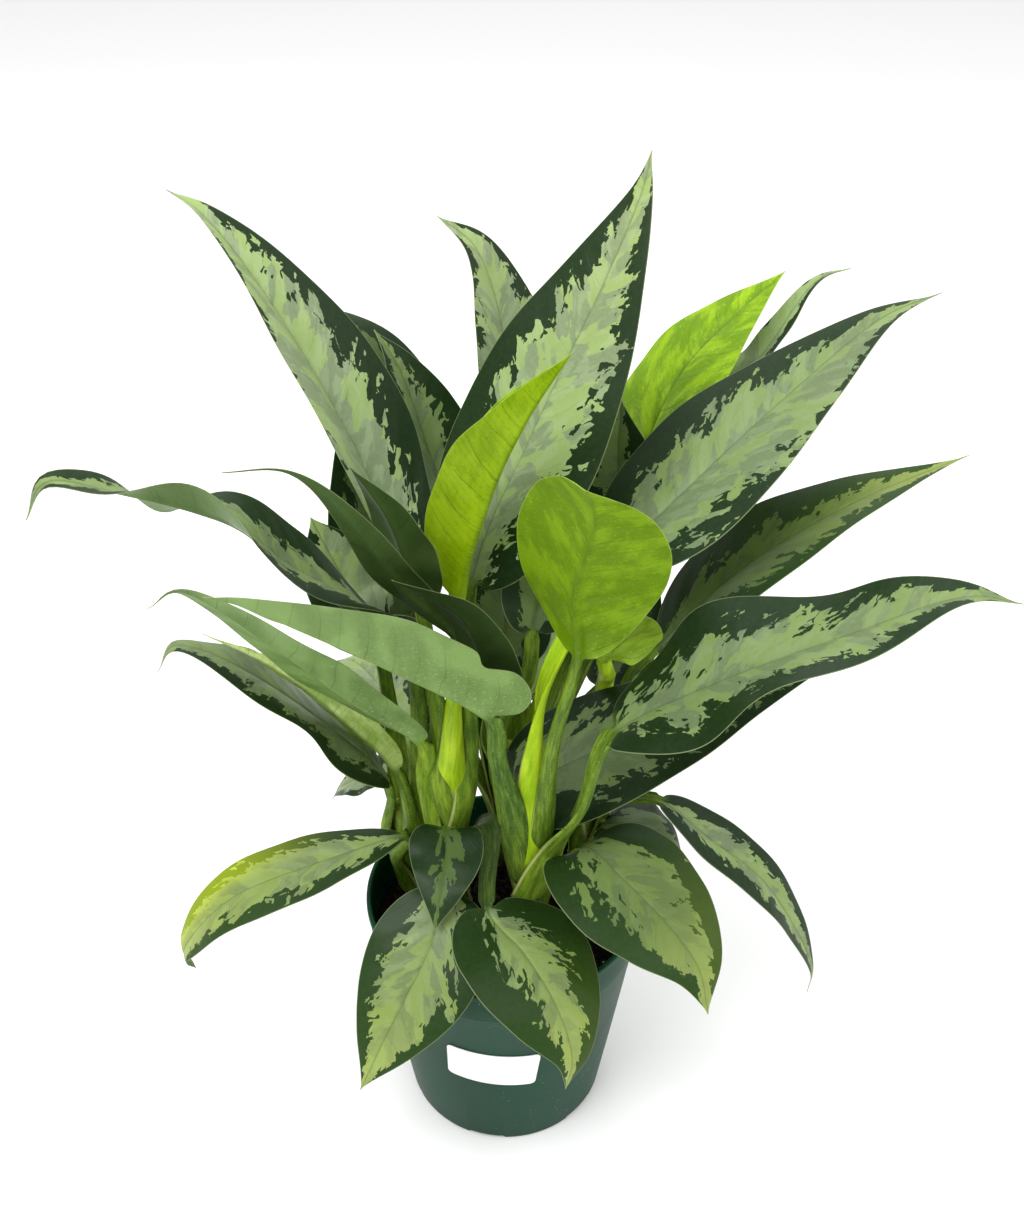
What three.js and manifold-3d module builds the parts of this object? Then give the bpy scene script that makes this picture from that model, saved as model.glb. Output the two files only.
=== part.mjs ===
// A chinese evergreen in a six inch nursery pot.
// Millimetres, +Z up. The origin is the centre of the pot's flat underside, and the label faces -Y.
import * as THREE from "three";
import { mergeVertices } from "three/addons/utils/BufferGeometryUtils.js";
import Module from "manifold-3d";

const wasm = await Module();
wasm.setup();

// ---------------------------------------------------------------- driving dimensions

const CLEARANCE = 0.3; // air between pieces that touch on the real plant

const POT = {
  height: 146,
  lipRadius: 76.2,
  lipHeight: 4.5,
  lipDepth: 2.6, // how far the rolled lip stands out over the inside and the outside
  collarHeight: 21, // straight band under the rim, measured from the top
  collarStep: 1.2, // how far the band stands out over the wall below it
  baseRadius: 57,
  baseRounding: 2,
  wall: 1.6,
  floor: 1.8,
  sides: 48,
};

const DRAIN = { count: 6, width: 21, height: 2.8, firstAngle: -101 };

const LABEL = { width: 50, height: 29, corner: 3, thickness: 0.6, angle: -96, middle: 77, tilt: 4 };

const SOIL = { top: 122, bump: 1.4 };

const BLADE = {
  thickness: 0.9,
  belly: 0.36, // where along the blade it is widest
  tail: 1.25, // how sharply it narrows to the tip
  bow: 0.15, // how far each half curls down towards its edge
  lobe: 0.35, // how far the base of each half reaches back past the stalk
};
const STALK = { tipRadius: 2.8, rootRadius: 3.8, hollow: 0.5, rise: 12, standOff: 0.8 };

// Stations along a blade, closer together at the base, and across it from the left edge to the right.
const BLADE_STATIONS = [0, 0.04, 0.11, 0.21, 0.33, 0.46, 0.6, 0.74, 0.88, 1];
const STALK_STATIONS = [0, 0.25, 0.5, 0.75];
const ACROSS = [-1, -0.5, 0, 0.5, 1];
// The same five places across a stalk, and how high its rounded outline is at each of them.
const STALK_ACROSS = [-1, -0.72, 0, 0.72, 1];
const STALK_HIGH = [0.2, 0.72, 1, 0.72, 0.2];

const COLOURS = {
  pot: { color: 0x2b5a46, roughness: 0.45, metalness: 0 },
  label: { color: 0xf6f6f4, roughness: 0.6, metalness: 0 },
  soil: { color: 0x14100e, roughness: 1, metalness: 0 },
  cane: { color: 0x6d8a35, roughness: 0.6, metalness: 0 },
  leaf: { color: 0x4d7a45, roughness: 0.4, metalness: 0 },
  young: { color: 0x8cb81e, roughness: 0.4, metalness: 0 },
};

// Each cane: where it stands, where it ends, and its radius. Its upper part is the sheaths of the leaf stalks,
// which wrap round each other.
const CANES = {
  cane_centre: { from: [10, 0, 84], to: [13, -13, 192], radius: 7.5 },
  cane_left: { from: [-26, 14, 84], to: [-28, 4, 240], radius: 7.5 },
  cane_far_left: { from: [-48, 28, 84], to: [-57, 21, 190], radius: 6.5 },
  cane_right: { from: [36, 24, 84], to: [45, 18, 196], radius: 6.5 },
  cane_back: { from: [2, 44, 84], to: [2, 52, 206], radius: 7.5 },
};

// Each leaf: its cane, the height and the compass angle of its root there (0 is +X, 90 is away from the label),
// the bends of its stalk, and the points that its midrib runs through from the base of the blade to the tip.
// width is the widest part of the blade opened flat. roll turns the blade about its midrib, in degrees at even
// steps from base to tip: a positive roll lifts the right edge. fold is the angle by which each half rises.
const LEAVES = {
  // the tall leaves of the crown
  leaf_tall_centre: {
    cane: "cane_left", root: [210, 50], width: 82, fold: 12, roll: [-20, -15],
    blade: [[-16, 25, 328], [14, 45, 402], [44, 60, 465], [60, 70, 502], [65, 76, 522]],
  },
  leaf_tall_left: {
    cane: "cane_left", root: [210, 115], width: 70, fold: 33, roll: [0, 0], belly: 0.42,
    blade: [[-42, 30, 317], [-65, 46, 376], [-86, 56, 421], [-111, 64, 465], [-133, 71, 494], [-150, 76, 505]],
  },
  leaf_tall_right: {
    cane: "cane_centre", root: [168, -105], width: 79, fold: 15, roll: [-10, 0], belly: 0.33, tail: 1.5,
    stalk: [[15, -23, 272], [20, -15, 302]],
    blade: [[51, 23, 339], [94, 43, 379], [140, 64, 416], [177, 78, 443], [208, 88, 453]],
  },
  leaf_tall_back: {
    cane: "cane_back", root: [188, 65], width: 60, fold: 18, roll: [0, 0],
    blade: [[4, 88, 358], [0, 104, 420], [-12, 112, 463], [-32, 112, 482]],
  },
  leaf_back_left_upper: {
    cane: "cane_back", root: [170, 145], width: 58, fold: 20, roll: [0, 0],
    blade: [[-34, 80, 327], [-55, 108, 388], [-84, 120, 422], [-116, 122, 428]],
  },
  leaf_back_left_middle: {
    cane: "cane_back", root: [184, 115], width: 60, fold: 25, roll: [0, 0],
    blade: [[-21, 71, 314], [-39, 91, 368], [-53, 107, 405], [-66, 116, 423]],
  },
  leaf_back_left_lower: {
    cane: "cane_back", root: [160, 175], width: 62, fold: 12, roll: [0, 0],
    blade: [[-55, 70, 257], [-66, 82, 306], [-74, 94, 349], [-82, 104, 396]],
  },
  leaf_back_centre: {
    cane: "cane_back", root: [198, 180], width: 50, fold: 15, roll: [20, 20],
    blade: [[-3, 55, 257], [0, 60, 283], [-2, 65, 305], [-8, 70, 327]],
  },
  leaf_back_narrow: {
    cane: "cane_back", root: [186, -130], width: 40, fold: 30, roll: [0, 0],
    stalk: [[2, 36, 238], [12, 27, 272]],
    blade: [[14, 20, 304], [17, 30, 325], [19, 38, 345], [12, 44, 362]],
  },
  leaf_back_right_upper: {
    cane: "cane_back", root: [176, -15], width: 50, fold: 20, roll: [0, 0],
    blade: [[54, 80, 333], [58, 85, 354], [58, 89, 375], [59, 93, 395]],
  },
  leaf_back_right_lower: {
    cane: "cane_back", root: [150, 10], width: 56, fold: 12, roll: [0, 0],
    blade: [[53, 78, 223], [67, 85, 253], [77, 92, 282], [82, 96, 304]],
  },
  leaf_back_right_slim: {
    cane: "cane_back", root: [166, 15], width: 20, fold: 25, roll: [0, 0],
    blade: [[102, 110, 370], [136, 130, 406], [159, 142, 437], [180, 150, 443]],
  },
  // the young yellow-green leaves
  leaf_young_rolled: {
    cane: "cane_left", root: [232, -82], width: 52, fold: 66, roll: [0, 0], belly: 0.42, young: true,
    blade: [[-21, 5, 333], [-7, 0, 390], [9, -10, 432], [28, -18, 468]],
  },
  leaf_young_heart: {
    cane: "cane_centre", root: [178, -58], width: 68, fold: 22, roll: [24, 24], belly: 0.45, tail: 1,
    young: true,
    stalk: [[20, -26, 222], [23, -26, 268]],
    lobe: 0.6,
    blade: [[34, -25, 320], [31, -42, 365], [35, -80, 420], [32, -108, 450], [28, -130, 467]],
  },
  leaf_young_back: {
    cane: "cane_back", root: [178, 45], width: 66, fold: 10, roll: [0, 0], young: true,
    blade: [[71, 102, 356], [91, 119, 397], [118, 131, 424], [143, 137, 446]],
  },
  leaf_young_small: {
    cane: "cane_right", root: [176, 110], width: 38, fold: 10, roll: [20, 20], young: true,
    stalk: [[54, 56, 244], [53, 26, 272]],
    blade: [[49, 8, 296], [55, 4, 309], [60, -3, 322], [56, -11, 339]],
  },
  // the right side
  leaf_right_upper: {
    cane: "cane_right", root: [168, 60], width: 66, fold: 18, roll: [0, 0], tail: 1.5,
    stalk: [[66, 60, 238], [72, 50, 262]],
    blade: [[77, 30, 286], [116, 35, 330], [167, 40, 365], [221, 45, 389]],
  },
  leaf_right_long: {
    cane: "cane_centre", root: [168, -25], width: 72, fold: 22, roll: [-20, -5],
    wave: [7, 2.2, 0.1], stalk: [[29, -24, 208], [39, -31, 236]],
    blade: [[52, -28, 278], [97, -45, 323], [150, -60, 361], [185, -68, 383], [209, -74, 384]],
  },
  leaf_right_wide: {
    cane: "cane_centre", root: [148, 75], width: 74, fold: 8, roll: [-18, -10], belly: 0.27, tail: 1.2,
    blade: [[9, 7, 207], [48, 14, 232], [116, 20, 262], [165, 15, 289]],
  },
  leaf_right_tucked: {
    cane: "cane_right", root: [146, -60], width: 52, fold: 8, roll: [10, 5],
    blade: [[52, 6, 186], [71, 0, 190], [87, -6, 182], [97, -10, 166]],
  },
  leaf_right_drooping: {
    cane: "cane_right", root: [184, -15], width: 34, fold: 15, roll: [0, 0],
    blade: [[81, 6, 205], [109, -5, 187], [136, -16, 169], [156, -26, 141], [166, -33, 118], [165, -37, 104]],
  },
  // the left side
  leaf_left_twisted: {
    cane: "cane_left", root: [196, 150], width: 44, fold: 22, roll: [-40, -5, 12, 6, -50, 12, 20],
    stalk: [[-42, 9, 262], [-46, 1, 302]],
    blade: [
      [-51, -6, 323], [-72, -14, 348], [-94, -24, 371], [-110, -34, 395],
      [-127, -44, 410], [-154, -54, 424], [-177, -60, 432], [-188, -62, 416],
    ],
  },
  leaf_left_arched: {
    cane: "cane_left", root: [206, -45], width: 22, fold: 15, roll: [-35, -45], tail: 2.2,
    stalk: [[-18, 2, 265]],
    blade: [[-18, -6, 312], [-44, -24, 358], [-64, -46, 408], [-82, -60, 436], [-106, -71, 442]],
  },
  leaf_left_inner: {
    cane: "cane_left", root: [214, -125], width: 30, fold: 20, roll: [-50, -50],
    stalk: [[-33, -3, 270]],
    blade: [[-39, -2, 334], [-43, -7, 358], [-51, -9, 386], [-66, -10, 412]],
  },
  leaf_left_small: {
    cane: "cane_far_left", root: [182, 90], width: 46, fold: 10, roll: [10, 25], belly: 0.42,
    blade: [[-66, 38, 294], [-77, 44, 311], [-87, 50, 329], [-97, 57, 348]],
  },
  leaf_left_folded: {
    cane: "cane_far_left", root: [172, 0], width: 40, fold: 20, roll: [-40, -40],
    blade: [[-47, 20, 294], [-62, 15, 309], [-74, 12, 321], [-83, 11, 329]],
  },
  leaf_left_grey: {
    cane: "cane_left", root: [176, -165], width: 40, fold: 15, roll: [-40, -45],
    stalk: [[-42, -1, 226]],
    blade: [[-41, -12, 260], [-73, -23, 296], [-102, -39, 338], [-133, -51, 374], [-148, -58, 371]],
  },
  leaf_left_front: {
    cane: "cane_centre", root: [152, -170], width: 70, fold: 28, roll: [-38, -42],
    stalk: [[3, -24, 230], [-4, -27, 262]],
    lobe: 1.2,
    blade: [[-7, -33, 293], [-45, -52, 333], [-83, -72, 370], [-103, -84, 390], [-115, -90, 398]],
  },
  leaf_left_lower: {
    cane: "cane_far_left", root: [156, -175], width: 53, fold: 7, roll: [7, 0], wave: [3.5, 2.2, 0.8],
    blade: [[-62, 12, 214], [-97, 0, 269], [-130, -12, 309], [-152, -18, 323], [-161, -22, 311]],
  },
  leaf_left_pale: {
    cane: "cane_far_left", root: [164, -60], width: 30, fold: 20, roll: [-35, -35],
    blade: [[-57, 12, 221], [-79, -2, 266], [-107, -16, 308], [-136, -28, 337]],
  },
  leaf_left_tiny: {
    cane: "cane_far_left", root: [136, 120], width: 30, fold: 20, roll: [20, 20],
    blade: [[-69, 66, 164], [-84, 78, 156], [-98, 86, 143], [-107, 90, 128]],
  },
  leaf_centre_dark: {
    cane: "cane_centre", root: [176, 160], width: 36, fold: 20, roll: [-15, -35],
    stalk: [[-4, -10, 245]],
    blade: [[-4, -20, 288], [-9, -28, 322], [-20, -37, 354], [-47, -47, 378]],
  },
  // the low leaves that hang over the rim
  leaf_low_left: {
    cane: "cane_far_left", root: [144, -130], width: 44, fold: 10, roll: [0, 0], belly: 0.5, tail: 0.85,
    blade: [[-53, -2, 187], [-97, -20, 185], [-140, -36, 176], [-166, -46, 150], [-162, -48, 136]],
  },
  leaf_low_small: {
    cane: "cane_left", root: [176, -80], width: 38, fold: 8, roll: [0, 0], belly: 0.26,
    blade: [[-30, -12, 202], [-30, -30, 198], [-32, -46, 190], [-35, -58, 175]],
  },
  leaf_low_front_left: {
    cane: "cane_left", root: [148, -95], width: 60, fold: 8, roll: [20, 10],
    blade: [[-30, -34, 179], [-38, -60, 164], [-58, -85, 133], [-73, -98, 103]],
  },
  leaf_low_front: {
    cane: "cane_left", root: [176, -15], width: 68, fold: 8, roll: [8, 4],
    stalk: [[-7, -14, 204]],
    lobe: 0.5,
    blade: [[-9, -44, 178], [10, -69, 171], [25, -89, 158], [33, -104, 139], [30, -112, 123]],
  },
  leaf_low_front_right: {
    cane: "cane_centre", root: [148, 0], width: 74, fold: 8, roll: [0, 0],
    lobe: 0.7,
    blade: [[41, -19, 195], [59, -44, 198], [80, -66, 189], [94, -82, 177], [99, -95, 158]],
  },
  // the low leaves at the back
  leaf_rear_left: {
    cane: "cane_far_left", root: [152, 60], width: 58, fold: 10, roll: [0, 0],
    blade: [[-56, 66, 192], [-72, 98, 206], [-92, 130, 204], [-108, 152, 188]],
  },
  leaf_rear: {
    cane: "cane_back", root: [150, 80], width: 60, fold: 12, roll: [0, 0],
    blade: [[12, 84, 210], [18, 116, 234], [24, 150, 244], [30, 178, 236]],
  },
  leaf_rear_right: {
    cane: "cane_right", root: [150, 85], width: 58, fold: 10, roll: [0, 0],
    blade: [[52, 58, 186], [74, 88, 202], [96, 118, 202], [112, 140, 186]],
  },
};

// ---------------------------------------------------------------- meshes and solids

const radians = THREE.MathUtils.degToRad;

// A closed mesh from equal rings of points. Each ring runs clockwise as seen along the path, so the faces point
// out. swap(j) says where a cell takes its other diagonal, so that a blade's two faces are split alike.
function loft(rings, swap = () => false) {
  const count = rings[0].length;
  const positions = rings.flat().flatMap((p) => [p.x, p.y, p.z]);
  const index = [];
  for (let i = 0; i + 1 < rings.length; i++) {
    for (let j = 0; j < count; j++) {
      const a = i * count + j;
      const b = i * count + ((j + 1) % count);
      const c = b + count;
      const d = a + count;
      if (swap(j)) index.push(a, b, d, b, c, d);
      else index.push(a, b, c, a, c, d);
    }
  }
  const last = (rings.length - 1) * count;
  for (let j = 1; j + 1 < count; j++) {
    index.push(0, j + 1, j);
    index.push(last, last + j, last + j + 1);
  }
  const geometry = new THREE.BufferGeometry();
  geometry.setAttribute("position", new THREE.Float32BufferAttribute(positions, 3));
  geometry.setIndex(index);
  return geometry;
}

// A closed geometry as a solid. Triangles that shrank to nothing on a lathe's axis are dropped.
function solid(geometry) {
  const bare = geometry.clone();
  bare.deleteAttribute("normal");
  bare.deleteAttribute("uv");
  const merged = mergeVertices(bare, 1e-4);
  const corners = [];
  const index = merged.index.array;
  for (let i = 0; i < index.length; i += 3) {
    const [a, b, c] = [index[i], index[i + 1], index[i + 2]];
    if (a !== b && b !== c && c !== a) corners.push(a, b, c);
  }
  const mesh = new wasm.Mesh({
    numProp: 3,
    vertProperties: merged.attributes.position.array,
    triVerts: new Uint32Array(corners),
  });
  return new wasm.Manifold(mesh);
}

function geometryOf(manifold) {
  const mesh = manifold.getMesh();
  const geometry = new THREE.BufferGeometry();
  geometry.setAttribute("position", new THREE.BufferAttribute(mesh.vertProperties, 3));
  geometry.setIndex(new THREE.BufferAttribute(mesh.triVerts, 1));
  geometry.computeVertexNormals();
  return geometry;
}

function named(name, manifold, colours) {
  const mesh = new THREE.Mesh(geometryOf(manifold), new THREE.MeshStandardMaterial(colours));
  mesh.name = name;
  return mesh;
}

// ---------------------------------------------------------------- pot, label and soil

// Outer radius of the plain wall at a height, from the base to the foot of the collar.
function wallRadius(z) {
  const collarFoot = POT.height - POT.collarHeight;
  const topRadius = POT.lipRadius - POT.lipDepth / 2 - POT.collarStep;
  const share = Math.min(z, collarFoot) / collarFoot;
  return POT.baseRadius + (topRadius - POT.baseRadius) * share;
}

function turned(profile, sides) {
  const points = profile.map(([r, z]) => new THREE.Vector2(r, z));
  return new THREE.LatheGeometry(points, sides).rotateX(Math.PI / 2);
}

// One moulded shell: flat floor, tapering wall, a band that stands out by a small step, and a rolled lip.
function makePot() {
  const collarFoot = POT.height - POT.collarHeight;
  const lipFoot = POT.height - POT.lipHeight;
  const band = POT.lipRadius - POT.lipDepth / 2;
  const soft = POT.baseRounding;
  const profile = [
    [0, 0],
    [POT.baseRadius - soft, 0],
    [POT.baseRadius - soft * 0.3, soft * 0.3],
    [wallRadius(soft), soft],
    [wallRadius(collarFoot - 1), collarFoot - 1],
    [band - 0.4, collarFoot],
    [band, lipFoot],
    [POT.lipRadius, lipFoot + 1],
    [POT.lipRadius, POT.height - 1],
    [POT.lipRadius - 1, POT.height],
    [POT.lipRadius - POT.lipDepth, POT.height],
    [band - POT.wall, lipFoot],
    [band - POT.wall - 0.4, collarFoot],
    [wallRadius(collarFoot) - POT.wall, collarFoot - 2],
    [wallRadius(POT.floor + 1) - POT.wall, POT.floor + 1],
    [wallRadius(POT.floor + 1) - POT.wall - 1, POT.floor],
    [0, POT.floor],
  ];
  let pot = solid(turned(profile, POT.sides));
  for (let i = 0; i < DRAIN.count; i++) {
    const slot = new THREE.BoxGeometry(12, DRAIN.width, 2 * DRAIN.height);
    slot.translate(POT.baseRadius + 1, 0, 0);
    slot.rotateZ(radians(DRAIN.firstAngle + (i * 360) / DRAIN.count));
    pot = pot.subtract(solid(slot));
  }
  return pot;
}

// A thin plate with rounded corners, bent round the wall.
function makeLabel() {
  const half = LABEL.width / 2;
  const corner = LABEL.corner;
  const stations = [];
  for (const turn of [0, 30, 60, 90]) {
    stations.push([half - corner + corner * Math.cos(radians(turn)), corner * (1 - Math.sin(radians(turn)))]);
  }
  const right = stations.slice().reverse();
  const inner = [-0.75, -0.5, -0.25, 0, 0.25, 0.5, 0.75].map((share) => [share * (half - corner), 0]);
  const left = stations.map(([x, cut]) => [-x, cut]);
  const rings = [...left, ...inner, ...right].map(([x, cut]) => {
    const tilt = radians(LABEL.tilt);
    const reach = LABEL.height / 2 - cut;
    const places = [[-reach, 0], [reach, 0], [reach, LABEL.thickness], [-reach, LABEL.thickness]];
    return places.map(([y, out]) => {
      const z = LABEL.middle + y * Math.cos(tilt) - x * Math.sin(tilt);
      const across = x * Math.cos(tilt) + y * Math.sin(tilt);
      const radius = wallRadius(z) + CLEARANCE + out;
      const angle = radians(LABEL.angle) + across / wallRadius(LABEL.middle);
      return new THREE.Vector3(radius * Math.cos(angle), radius * Math.sin(angle), z);
    });
  });
  return solid(loft(rings));
}

// Potting mix up to a little below the rim, its top gently uneven, with a plain hole for each cane.
function makeSoil(canes) {
  const low = POT.floor + CLEARANCE;
  const bottom = wallRadius(low) - POT.wall - 2.5;
  const foot = wallRadius(low + 3) - POT.wall - CLEARANCE - 0.3;
  const rim = wallRadius(SOIL.top) - POT.wall - 3 * CLEARANCE;
  const rings = [0.82, 0.6, 0.36, 0.16].map((share) => [share * rim, SOIL.top]);
  const profile = [[0, low], [bottom, low], [foot, low + 3], [rim, SOIL.top - 1], ...rings, [0, SOIL.top]];
  const geometry = turned(profile, POT.sides);
  const position = geometry.attributes.position;
  for (let i = 0; i < position.count; i++) {
    if (position.getZ(i) < SOIL.top - 0.5) continue;
    const radius = Math.hypot(position.getX(i), position.getY(i));
    const angle = Math.atan2(position.getY(i), position.getX(i));
    const swell = Math.sin(3 * angle + radius / 9) + 0.6 * Math.sin(5 * angle - radius / 5);
    position.setZ(i, SOIL.top + (SOIL.bump * swell * radius) / rim);
  }
  let soil = solid(geometry);
  for (const cane of Object.values(canes)) soil = soil.subtract(caneSolid(cane, CLEARANCE));
  return soil;
}

// ---------------------------------------------------------------- canes

// A short upright stem, a little swollen at the scars that older leaves left, and domed at the top.
function caneSolid(cane, extra = 0) {
  const from = new THREE.Vector3(...cane.from);
  const to = new THREE.Vector3(...cane.to);
  const along = to.clone().sub(from).normalize();
  const steps = [0, 0.34, 0.4, 0.46, 0.52, 0.6, 0.66, 0.74, 0.8, 0.88, 0.95, 1];
  const swell = [0, 0, 0.5, 0, 0.5, 0, 0.5, 0, 0.5, 0, -0.8, -3.5];
  const spin = new THREE.Quaternion().setFromUnitVectors(new THREE.Vector3(0, 0, 1), along);
  const rings = steps.map((step, i) => {
    const middle = from.clone().lerp(to, step);
    if (i === 0) middle.addScaledVector(along, -extra);
    if (i === steps.length - 1) middle.addScaledVector(along, extra);
    const ring = [];
    for (let k = 0; k < 12; k++) {
      const angle = (k * Math.PI) / 6;
      const radius = cane.radius + swell[i] + extra;
      const rim = new THREE.Vector3(radius * Math.cos(angle), radius * Math.sin(angle), 0);
      ring.push(rim.applyQuaternion(spin).add(middle));
    }
    return ring;
  });
  return solid(loft(rings));
}

// ---------------------------------------------------------------- leaves

// Points evenly spaced at the given shares of a polyline's length.
function spaced(polyline, shares) {
  const lengths = [0];
  for (let i = 1; i < polyline.length; i++) {
    lengths.push(lengths[i - 1] + polyline[i].distanceTo(polyline[i - 1]));
  }
  const total = lengths[lengths.length - 1];
  return shares.map((share) => {
    const want = share * total;
    let i = 1;
    while (i < polyline.length - 1 && lengths[i] < want) i++;
    const part = (want - lengths[i - 1]) / (lengths[i] - lengths[i - 1]);
    return polyline[i - 1].clone().lerp(polyline[i], part);
  });
}

// A value given at even steps from 0 to 1, read at s.
function blendAt(values, s) {
  const place = s * (values.length - 1);
  const i = Math.min(Math.floor(place), values.length - 2);
  return values[i] + (values[i + 1] - values[i]) * (place - i);
}

// How wide the blade is at s, as a share of its greatest width: s^p (1-s)^tail, with p set by where it is widest.
function widthShare(s, belly, tail) {
  const power = (tail * belly) / (1 - belly);
  const shape = (x) => Math.pow(x, power) * Math.pow(1 - x, tail);
  return shape(s) / shape(belly);
}

// The two points where a stalk starts: inside its cane, and a little higher beside it, where it has come clear.
function rootPoints(cane, [height, angle]) {
  const from = new THREE.Vector3(...cane.from);
  const to = new THREE.Vector3(...cane.to);
  const out = new THREE.Vector3(Math.cos(radians(angle)), Math.sin(radians(angle)), 0);
  const beside = cane.radius + STALK.rootRadius + STALK.standOff;
  return [[height, 0.35 * cane.radius], [height + STALK.rise, beside]].map(([z, reach]) => {
    const share = (z - cane.from[2]) / (cane.to[2] - cane.from[2]);
    return from.clone().lerp(to, share).addScaledVector(out, reach);
  });
}

// Frames along the leaf: the tangent, the side (to the right, looking along it) and the upper side's normal.
// The normal stays in the upright plane of the leaf's heading, and roll then turns it about the midrib.
function framesAlong(points, heading, rolls) {
  return points.map((point, i) => {
    const before = points[Math.max(i - 1, 0)];
    const after = points[Math.min(i + 1, points.length - 1)];
    const tangent = after.clone().sub(before).normalize();
    const pitch = Math.atan2(tangent.z, tangent.dot(heading));
    const normal = heading.clone().multiplyScalar(-Math.sin(pitch));
    normal.z += Math.cos(pitch);
    normal.addScaledVector(tangent, -normal.dot(tangent)).normalize();
    const side = tangent.clone().cross(normal);
    side.applyAxisAngle(tangent, -radians(rolls[i]));
    normal.applyAxisAngle(tangent, -radians(rolls[i]));
    return { point, tangent, side, normal };
  });
}

// One ring round a stalk: rounded below, nearly flat above.
function stalkRing(frame, radius) {
  const top = [];
  const bottom = [];
  STALK_ACROSS.forEach((share, j) => {
    const across = frame.point.clone().addScaledVector(frame.side, share * radius);
    top.push(across.clone().addScaledVector(frame.normal, STALK_HIGH[j] * radius * STALK.hollow));
    bottom.unshift(across.clone().addScaledVector(frame.normal, -STALK_HIGH[j] * radius));
  });
  return [...top, ...bottom];
}

// One ring round the blade: two halves that rise by the fold angle, bow towards their edges and wave, with a
// midrib that stands out below.
function bladeRing(frame, s, leaf) {
  const fold = radians(leaf.fold);
  const share = s < 1 ? widthShare(s, leaf.belly ?? BLADE.belly, leaf.tail ?? BLADE.tail) : 0;
  const half = Math.max((leaf.width / 2) * share, STALK.tipRadius * (1 - s), 0.8);
  const [height, waves, start] = leaf.wave ?? [0, 0, 0];
  const rib = STALK.tipRadius * Math.pow(1 - s, 1.5);
  const top = [];
  const bottom = [];
  ACROSS.forEach((t) => {
    const out = Math.abs(t);
    const sign = Math.sign(t);
    const bow = BLADE.bow * t * t;
    const phase = t > 0 ? start : start + 0.35;
    const ripple = height * Math.sin(2 * Math.PI * (waves * s + phase)) * share * Math.pow(out, 1.5);
    const x = half * sign * (out * Math.cos(fold) + bow * Math.sin(fold));
    const z = half * (out * Math.sin(fold) - bow * Math.cos(fold)) + ripple;
    const back = (leaf.lobe ?? BLADE.lobe) * half * t * t * Math.pow(1 - s, 3);
    const place = frame.point.clone().addScaledVector(frame.side, x).addScaledVector(frame.normal, z);
    place.addScaledVector(frame.tangent, -back);
    const upward = frame.normal.clone().multiplyScalar(Math.cos(fold));
    upward.addScaledVector(frame.side, -sign * Math.sin(fold));
    if (t === 0) upward.copy(frame.normal);
    const under = BLADE.thickness / 2 + (t === 0 ? rib : 0);
    top.push(place.clone().addScaledVector(upward, BLADE.thickness / 2));
    bottom.unshift(place.clone().addScaledVector(upward, -under));
  });
  return [...top, ...bottom];
}

// Stalk and blade in one skin, from a root inside the cane to the tip.
function leafSolid(leaf) {
  const [root, beside] = rootPoints(CANES[leaf.cane], leaf.root);
  const stalk = [beside];
  for (const point of leaf.stalk ?? []) stalk.push(new THREE.Vector3(...point));
  const blade = leaf.blade.map((point) => new THREE.Vector3(...point));
  const curve = new THREE.CatmullRomCurve3([...stalk, ...blade], false, "catmullrom", 0.5);
  const fine = 24;
  const dense = curve.getPoints(fine * (stalk.length + blade.length - 1));
  const middle = [
    root,
    ...spaced(dense.slice(0, fine * stalk.length + 1), STALK_STATIONS),
    ...spaced(dense.slice(fine * stalk.length), BLADE_STATIONS),
  ];
  const heading = blade[blade.length - 1].clone().sub(blade[0]).setZ(0).normalize();
  const rolls = [
    0,
    ...STALK_STATIONS.map((share) => leaf.roll[0] * share),
    ...BLADE_STATIONS.map((s) => blendAt(leaf.roll, s)),
  ];
  const stalkRings = STALK_STATIONS.length + 1;
  const rings = framesAlong(middle, heading, rolls).map((frame, i) => {
    const share = Math.min(Math.max(i - 1, 0) / STALK_STATIONS.length, 1);
    const radius = STALK.rootRadius + (STALK.tipRadius - STALK.rootRadius) * share;
    return i <= stalkRings ? stalkRing(frame, radius) : bladeRing(frame, BLADE_STATIONS[i - stalkRings], leaf);
  });
  return solid(loft(rings, (j) => j >= ACROSS.length));
}

// ---------------------------------------------------------------- the plant

const plant = new THREE.Group();
plant.add(named("pot", makePot(), COLOURS.pot));
plant.add(named("label", makeLabel(), COLOURS.label));
plant.add(named("soil", makeSoil(CANES), COLOURS.soil));
for (const [name, cane] of Object.entries(CANES)) {
  plant.add(named(name, caneSolid(cane), COLOURS.cane));
}
for (const [name, leaf] of Object.entries(LEAVES)) {
  const trimmed = leafSolid(leaf).subtract(caneSolid(CANES[leaf.cane], CLEARANCE));
  plant.add(named(name, trimmed, leaf.young ? COLOURS.young : COLOURS.leaf));
}

export default plant;
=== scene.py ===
# %% [markdown]
# # A chinese evergreen in a six inch nursery pot
#
# The plant has about forty variegated leaves on long stalks, five short canes, black potting mix and a
# green plastic pot with a blank label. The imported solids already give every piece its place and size. This
# lesson dresses them: each leaf, cane, the soil, the pot and the label is worked out again as a finer
# surface in exactly the same place, and each gets a finish made of shader nodes.

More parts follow.
